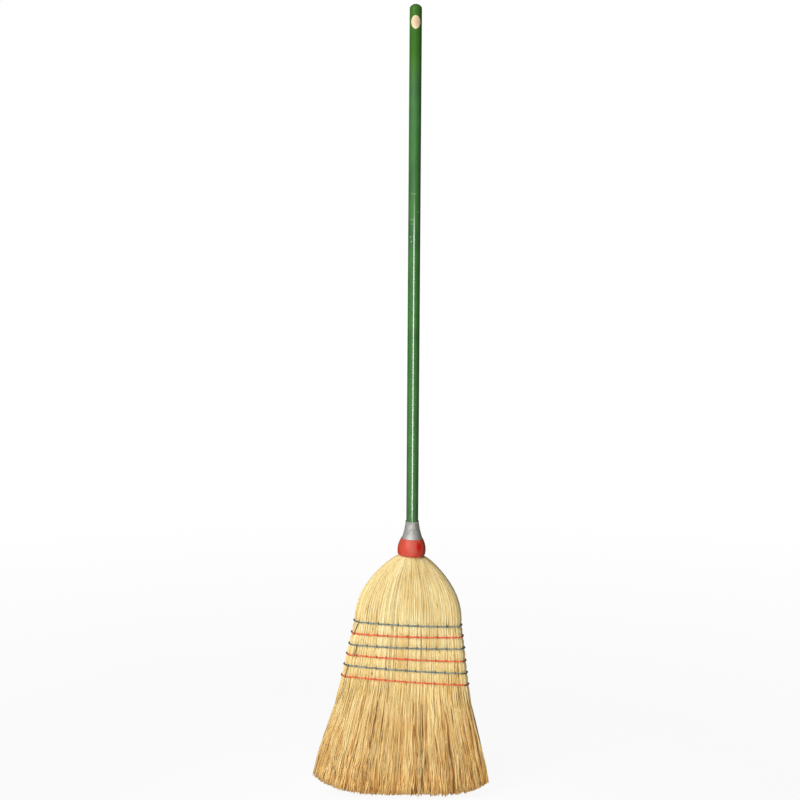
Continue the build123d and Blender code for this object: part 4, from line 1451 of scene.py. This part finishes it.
    def build_bundle(self, bundle: Bundle, places: dict[str, np.ndarray]) -> bpy.types.Object:
        """Build one bundle, wavy and clumped, with ragged tips.

        Args:
            bundle: The bundle.
            places: Where all strands start and lean to.

        Returns:
            The piece.
        """
        form, rng = self.form, self.rng
        node, (left, right), (front, back) = bundle.value
        mine = (places["across"] >= left) & (places["across"] < right)
        mine &= (places["deep"] >= front) & (places["deep"] < back + (back == 1.0))
        pick = {key: values[mine][:, None] for key, values in places.items()}
        root, root_deep, lean = pick["across"], pick["deep"], pick["clump_drift"]
        column = root.shape
        calmer, power = self.edge_calm
        calm = 1 - calmer * np.abs(root) ** power
        stray = rng.normal(0, 1, column)
        stray = stray * np.where(self.chance(self.stray_share, column), *self.strays) * calm
        to_clump = pick["clump_across"] - root
        end = root + (to_clump * pick["clump_pull"] * self.lean_share + lean) + stray / form.sweep_half_width
        tip = self.tips(np.clip(end, -1, 1), root_deep)
        up = self.root + (tip - self.root) * np.linspace(0, 1, self.rings)[None]
        loose = np.clip((self.free - up) / (self.free - tip), 0, 1)
        pull = pick["clump_pull"] * loose**self.clump_pull_power
        across = np.clip(root + to_clump * pull * self.lean_share + lean * loose, -1, 1)
        deep = root_deep + (pick["clump_deep"] - root_deep) * pull * self.lean_deep_share
        deep = np.clip(deep * (1 - pick["clump_sink"] * loose), -1, 1)
        width, depth = form.half_sizes(up)
        inset = np.interp(up, *zip(*self.insets))
        sway = self.sway * np.sin(TURN * up / (self.sway_length * pick["clump_pace"]) + pick["clump_wave"])
        slow, quick = (self.wander(up, drift) for drift in self.drifts_across)
        tuck, power = self.tip_tuck
        x = across * (width - inset) * (1 - tuck * loose**power)
        x = x + loose * (stray + calm * (sway + slow + quick))
        slow, quick = (self.wander(up, drift) for drift in self.drifts_deep)
        y = deep * np.maximum(depth * form.fullness(across) - inset, self.least_depth)
        y = y + loose * (self.sway_deep * sway + slow + quick)
        paths = form.world(x, y, up)
        paths[..., 2] = np.maximum(paths[..., 2], self.lowest)
        own = self.radius * rng.lognormal(0, self.size_spread, column).clip(*self.sizes)
        thinner, power = self.taper
        radii = np.maximum(own * (1.0 - thinner * loose**power), self.thinnest)
        marks = self.marks(self.tones(pick, loose, up), up)
        brush = tubes(f"brush_{bundle.name.lower()}", paths, radii, self.sides, DEEP, marks)
        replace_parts(brush, node)
        self.bend(brush)
        BRUSH_STRAW.dress(brush)
        return brush


@dataclass
class Sewing:
    """Rows of twine in two colours, laid round the head and stitched through it, with the links between rows.

    A spur's points have their rise, way out and lean. A lump has its size and its turns in a millimetre.
    """

    form: HeadForm
    twine_out: float = -0.05
    row_steps: int = 620
    ply_radius: float = 0.82
    ply_sides: int = 7
    lay_radius: float = 0.72
    lay: float = 7.5
    lump_out: float = 0.5
    lump_phases: Range = (0.0, 6.0)
    lumps: tuple[Range, Range] = ((0.18, 1.3), (0.15, 0.47))
    stitch_pitch: float = 18.6
    stitch_slant: float = 0.9
    stitch_jitter: float = 0.5
    row_tone: float = 0.22
    row_shade: Range = (0.10, 0.11)
    # dirt and painted shade: darker towards both ends of each face, where the twine wraps round the head
    end_grime_and_shade: Point = (0.45, 0.86, 1.0)
    # darker at each stitch
    stitch_darkening: Range = (0.20, 0.05)
    # painted shade: the right end of the front is darker
    twine_right_painted_shade: Point = (0.35, 0.84, 0.89)
    spur_radius: float = 0.72
    spur_rise: tuple[float, ...] = (-1.9, -1.5, -0.5, 0.6, 1.4, 1.9, 2.2)
    spur_out: tuple[float, ...] = (-2.6, -0.6, 1.1, 1.0, 0.2, -1.0, -2.8)
    spur_lean: tuple[float, ...] = (-0.4, -0.3, -0.1, 0.2, 0.4, 0.6, 0.7)
    spur_sizes: Range = (0.7, 1.2)
    spur_tones: Range = (0.45, 0.72)
    red_spur_share: float = 0.75
    link_radius: float = 0.8
    link_sides: int = 8
    link_out: float = 1.6
    link_tone: float = 0.62
    link_rows: tuple[int, ...] = (0, 2, 4)
    link_top_from_edge: tuple[float, ...] = (9.5, 15.7, 9.0)
    link_foot_from_edge: tuple[float, ...] = (6.4, 15.4, 8.0)
    link_dip: tuple[float, ...] = (3.0, 0.6, 0.0, 0.2, 0.35, 0.2, 0.0, 0.6, 3.0)
    link_past: float = 0.12
    link_search: int = 400
    seed: int = 88

    def build(self) -> list[bpy.types.Object]:
        """Build every row and the links.

        Returns:
            The pieces.
        """
        rng = np.random.default_rng(self.seed)
        pieces = []
        for row in range(len(self.form.row_skews)):
            pieces += self.build_row(row, rng)
        return pieces + [self.build_links()]

    def places(self, row: int) -> np.ndarray:
        """Where a row's stitches go through the head.

        Args:
            row: Number of the row, from the top.

        Returns:
            Places along a face from its middle, in millimetres.
        """
        width, depth = self.form.half_sizes(np.array(self.form.row_heights()[row]))
        count = int((width - self.form.end_rounding * depth) / self.stitch_pitch)
        return self.stitch_pitch * np.arange(-count, count + 1)

    def loop(
        self, row: int, share: np.ndarray, back: np.ndarray, out: np.ndarray | float, rise: np.ndarray | float
    ) -> np.ndarray:
        """Points on a row's line round the head.

        Args:
            row: Number of the row, from the top.
            share: Place along a face, from -1 to 1.
            back: Whether the point is on the back.
            out: How far outside the head's outline.
            rise: How far above the row's line.

        Returns:
            The points in millimetres.
        """
        up = np.full(np.shape(share), self.form.row_heights()[row])
        x, y = self.form.outline(share, up, out)
        y = np.where(back, -y, y)
        level = up - x * math.tan(math.radians(self.form.row_skews[row])) + rise
        return self.form.world(x, y, level)

    def build_row(self, row: int, rng: np.random.Generator) -> list[bpy.types.Object]:
        """Build one row: two plies twisted round the head, and a spur at each stitch.

        Args:
            row: Number of the row, from the top.
            rng: Seeded random numbers.

        Returns:
            The row and its spurs.
        """
        half = float(self.form.front_length(np.array(self.form.row_heights()[row])))
        way = np.linspace(0, 4, self.row_steps, endpoint=False)
        back = way >= 2
        share = np.where(back, 3 - way, way - 1)
        across = share * half
        phase = across / self.stitch_pitch
        slant = self.stitch_slant * ((phase - np.floor(phase)) - 0.5)
        waves = [size * np.sin(across * pace + rng.uniform(*self.lump_phases)) for size, pace in self.lumps]
        lumps = sum(waves)
        path = self.loop(row, share, back, self.twine_out + self.lump_out * lumps, slant + lumps)
        closed = np.concatenate([path, path[:1]])
        run = np.concatenate([[0], np.cumsum(np.linalg.norm(np.diff(closed, axis=0), axis=1))])
        strands = self.twisted(closed, run)
        tone = self.grime_and_shade(run, np.append(share, share[0]), np.append(phase, phase[0]), np.append(back, True))
        spur_paths, spur_tone = self.spurs(row, half, rng)
        name = f"twine_row_{row + 1}"
        thread = tubes(name, strands, self.ply_radius, self.ply_sides, self.form.axis(), {"tone": tone})
        name = f"twine_spurs_{row + 1}"
        spurs = tubes(name, spur_paths, self.spur_radius, self.ply_sides, ACROSS, {"tone": spur_tone})
        finish = RED_TWINE if row % 2 else BLUE_TWINE
        for piece in (thread, spurs):
            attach(piece, HEAD)
            finish.dress(piece)
        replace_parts(thread, f"stitch_row_{row + 1}")
        return [thread, spurs]

    def twisted(self, closed: np.ndarray, run: np.ndarray) -> np.ndarray:
        """Twist two plies round a closed line, a whole number of turns.

        Args:
            closed: Points of the line, the first again at the end.
            run: Length of the line up to each point.

        Returns:
            Middle points of the two plies.
        """
        turns = round(run[-1] / self.lay)
        along = np.gradient(closed, axis=0)
        along[0] = along[-1] = closed[1] - closed[-2]
        up = np.array(self.form.axis())
        outward = unit(np.cross(unit(along), up))
        twist = TURN * turns * run / run[-1]
        plies = []
        for start in (0.0, math.pi):
            swing = np.cos(twist + start)[:, None] * outward + np.sin(twist + start)[:, None] * up
            plies.append(closed + self.lay_radius * swing)
        return np.stack(plies)

    def grime_and_shade(self, run: np.ndarray, share: np.ndarray, phase: np.ndarray, back: np.ndarray) -> np.ndarray:
        """How dark a row is: soiled and painted shade at its ends, darker at its stitches, painted shade at
        the right of the front.

        Args:
            run: Length of the row up to each point.
            share: Place along a face.
            phase: Place counted in stitches.
            back: Whether the point is on the back.

        Returns:
            The tone at each point, as for one ply.
        """
        uneven, pace = self.row_shade
        tone = self.row_tone + uneven * np.sin(run * pace)
        for place, (most, low, high) in (
            # dirt and painted shade towards the ends
            (np.abs(share), self.end_grime_and_shade),
            # painted shade at the right end of the front
            (np.where(back, 0.0, share), self.twine_right_painted_shade),
        ):
            tone = tone + most * np.clip((place - low) / (high - low), 0, 1)
        # darker at each stitch
        most, reach = self.stitch_darkening
        return (tone + most * np.exp(-(((phase - np.round(phase)) / reach) ** 2)))[None]

    def spurs(self, row: int, half: float, rng: np.random.Generator) -> tuple[np.ndarray, np.ndarray]:
        """Paths of the short loops that come up over the twine at each stitch, on both faces.

        Args:
            row: Number of the row, from the top.
            half: Length of half a face's outline.
            rng: Seeded random numbers.

        Returns:
            The paths, and how dark each is.
        """
        stitches = self.places(row)
        across = np.tile(stitches, 2)
        back = np.repeat([False, True], len(stitches))[:, None]
        across = across + rng.normal(0, self.stitch_jitter, len(across))
        column = (len(across), 1)
        grow = rng.uniform(*self.spur_sizes, column) * (self.red_spur_share if row % 2 else 1.0)
        share = (across[:, None] + np.array(self.spur_lean)) / half
        out = self.twine_out + np.array(self.spur_out)
        paths = self.loop(row, share, back, out, np.array(self.spur_rise) * grow)
        return paths, rng.uniform(*self.spur_tones, column)

    def build_links(self) -> bpy.types.Object:
        """Build the short threads at the left that carry the twine from one row to the next.

        Returns:
            The piece.
        """
        way = np.linspace(-self.link_past, 1 + self.link_past, len(self.link_dip))[:, None]
        paths = []
        for row, top, foot in zip(self.link_rows, self.link_top_from_edge, self.link_foot_from_edge):
            start, end = self.link_end(row, top), self.link_end(row + 1, foot)
            line = start + (end - start) * way
            line[:, 1] += self.link_dip
            paths.append(line)
        tone = {"tone": self.link_tone}
        links = tubes("twine_links_left", np.stack(paths), self.link_radius, self.link_sides, ACROSS, tone)
        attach(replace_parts(links, "twine_links"), HEAD)
        BLUE_TWINE.dress(links)
        return links

    def link_end(self, row: int, from_edge: float) -> np.ndarray:
        """Find where a link meets a row, at the left of the front.

        Args:
            row: Number of the row, from the top.
            from_edge: How far in from the head's edge, in millimetres.

        Returns:
            The point in millimetres.
        """
        height = np.array(self.form.row_heights()[row])
        width, _ = self.form.half_sizes(height)
        shares = np.linspace(0, 1, self.link_search)
        x, _ = self.form.outline(shares, height, 0.0)
        share = -float(np.interp(float(width) - from_edge, x, shares))
        return self.loop(row, np.array(share), np.array(False), self.link_out, 0.0)


@dataclass(frozen=True)
class Lamp:
    """A soft rectangular lamp, in watts and metres, that faces a target."""

    name: str
    watts: float
    size: Range
    place: Point
    target: Point

    def hang(self) -> None:
        """Hang the lamp, unseen by the camera itself."""
        light = bpy.data.lights.new(self.name, "AREA")
        light.shape = "RECTANGLE"
        light.energy = self.watts
        light.size, light.size_y = self.size
        lamp = bpy.data.objects.new(self.name, light)
        lamp.location = self.place
        lamp.visible_camera = False
        lamp.rotation_euler = (Vector(self.target) - Vector(self.place)).to_track_quat("-Z", "Y").to_euler()
        bpy.context.scene.collection.objects.link(lamp)


@dataclass
class Studio:
    """Pale floor, soft lamps and the camera, in metres."""

    floor_size: float = 60.0
    floor_clear: Range = (0.3, 2.6)
    floor_seen: Range = (0.93, 1.0)
    paper: Stops = ((0.2, "#f2f1ee"), (0.75, "#8f8e8b"))
    ambient: float = 0.06
    room: str = "#fbfaf8"
    mirrored: float = 0.02
    lamps: tuple[Lamp, ...] = (
        Lamp("key_softbox", 136.0, (2.4, 2.4), (-2.04, -2.81, 2.7), (0.0, 0.0, 0.5)),
        Lamp("front_softbox", 17.0, (0.62, 0.88), (-0.1, -2.0, 0.51), (0.0, 0.0, 0.51)),
        Lamp("top_softbox", 14.0, (2.0, 2.0), (-0.4, -0.4, 3.4), (0.0, 0.0, 0.5)),
    )
    sensor: float = 36.0
    focal_pixels: float = 2200.5
    image_pixels: float = 800.0
    far_clip: float = 60.0
    camera_place: Point = (-0.00283, -4.01, 1.3865)
    pitch: float = math.radians(8.873)
    yaw: float = math.radians(-0.024)
    roll: float = math.radians(0.354)

    def build(self) -> None:
        """Build the floor, the room, the lamps and the camera."""
        self.build_floor()
        self.build_room()
        for lamp in self.lamps:
            lamp.hang()
        self.place_camera()
        bpy.context.scene.view_settings.view_transform = "Standard"

    def seen(self, add: Adder) -> bpy.types.Node:
        """How much of the white surroundings a ray sees.

        Args:
            add: Adds a node to the floor or the room.

        Returns:
            What gives 1 for the camera and through clear things, less for a reflection, 0 for lighting.
        """
        rays = add("LightPath").outputs
        mirror = add("Math", {0: rays["Is Glossy Ray"], 1: self.mirrored}, operation="MULTIPLY")
        either = add("Math", {0: rays["Is Camera Ray"], 1: mirror}, operation="MAXIMUM")
        return add("Math", {0: either, 1: rays["Is Transmission Ray"]}, operation="MAXIMUM")

    def build_floor(self) -> None:
        """Lay the pale floor, white to the eye with a faint shadow."""
        half = self.floor_size / 2
        points = np.array([(-half, -half, 0), (half, -half, 0), (half, half, 0), (-half, half, 0)])
        floor = new_piece("studio_floor", points, [np.array([[0, 1, 2, 3]])])
        paint = bpy.data.materials.new("matt white paper sweep")
        add = cleared(paint)
        place = add("TexCoord").outputs["Object"]
        away = add("VectorMath", {0: place}, operation="LENGTH").outputs["Value"]
        (near, far), (least, most) = self.floor_clear, self.floor_seen
        ends = {"From Min": near, "From Max": far, "To Min": least, "To Max": most}
        clear = add("MapRange", {"Value": away, **ends})
        share = add("Math", {0: self.seen(add), 1: clear}, operation="MULTIPLY")
        matt = add("BsdfDiffuse", {"Color": add("ValToRGB", {"Fac": away}, stops=self.paper)})
        glow = add("Emission", {"Color": WHITE, "Strength": 1.0})
        add("OutputMaterial", {"Surface": add("MixShader", {0: share, 1: matt, 2: glow})})
        floor.data.materials.append(paint)

    def build_room(self) -> None:
        """Fill the room with even pale light, white where it is seen."""
        world = bpy.data.worlds.new("studio_room")
        bpy.context.scene.world = world
        add = cleared(world)
        room = add("Background", {"Color": self.room, "Strength": self.ambient})
        white = add("Background", {"Color": WHITE, "Strength": 1.0})
        add("OutputWorld", {"Surface": add("MixShader", {0: self.seen(add), 1: room, 2: white})})

    def place_camera(self) -> None:
        """Set the camera where the photograph was taken from."""
        lens = bpy.data.cameras.new("studio_camera")
        lens.sensor_width = self.sensor
        lens.lens = self.focal_pixels * lens.sensor_width / self.image_pixels
        lens.clip_end = self.far_clip
        camera = bpy.data.objects.new("studio_camera", lens)
        turn = (
            Matrix.Rotation(-self.yaw, 4, "Z")
            @ Matrix.Rotation(math.pi / 2 - self.pitch, 4, "X")
            @ Matrix.Rotation(self.roll, 4, "Z")
        )
        camera.matrix_world = Matrix.Translation(self.camera_place) @ turn
        bpy.context.scene.collection.objects.link(camera)
        bpy.context.scene.camera = camera


def corners(box: Any) -> list[list[float]]:
    """Corners of a box as plain numbers."""
    return [[float(v) for v in corner] for corner in box]


def main() -> None:
    """Build and dress the broom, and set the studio."""
    logging.basicConfig(level=logging.INFO, format="%(name)s: %(message)s")
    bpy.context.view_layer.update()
    form = HeadForm()
    sewing = Sewing(form)
    straw = {"form": form, "rng": np.random.default_rng(STRAW_SEED)}
    stalks = Stalks(**straw, stitches=sewing.places)
    for part in (Stick(), Neck(form), PackedCore(**straw), stalks, Brush(**straw), sewing):
        for piece in part.build():
            log.info("%s: %s with %d faces", type(part).__name__, piece.name, len(piece.data.polygons))
    Studio().build()


if __name__ == "__main__":
    main()
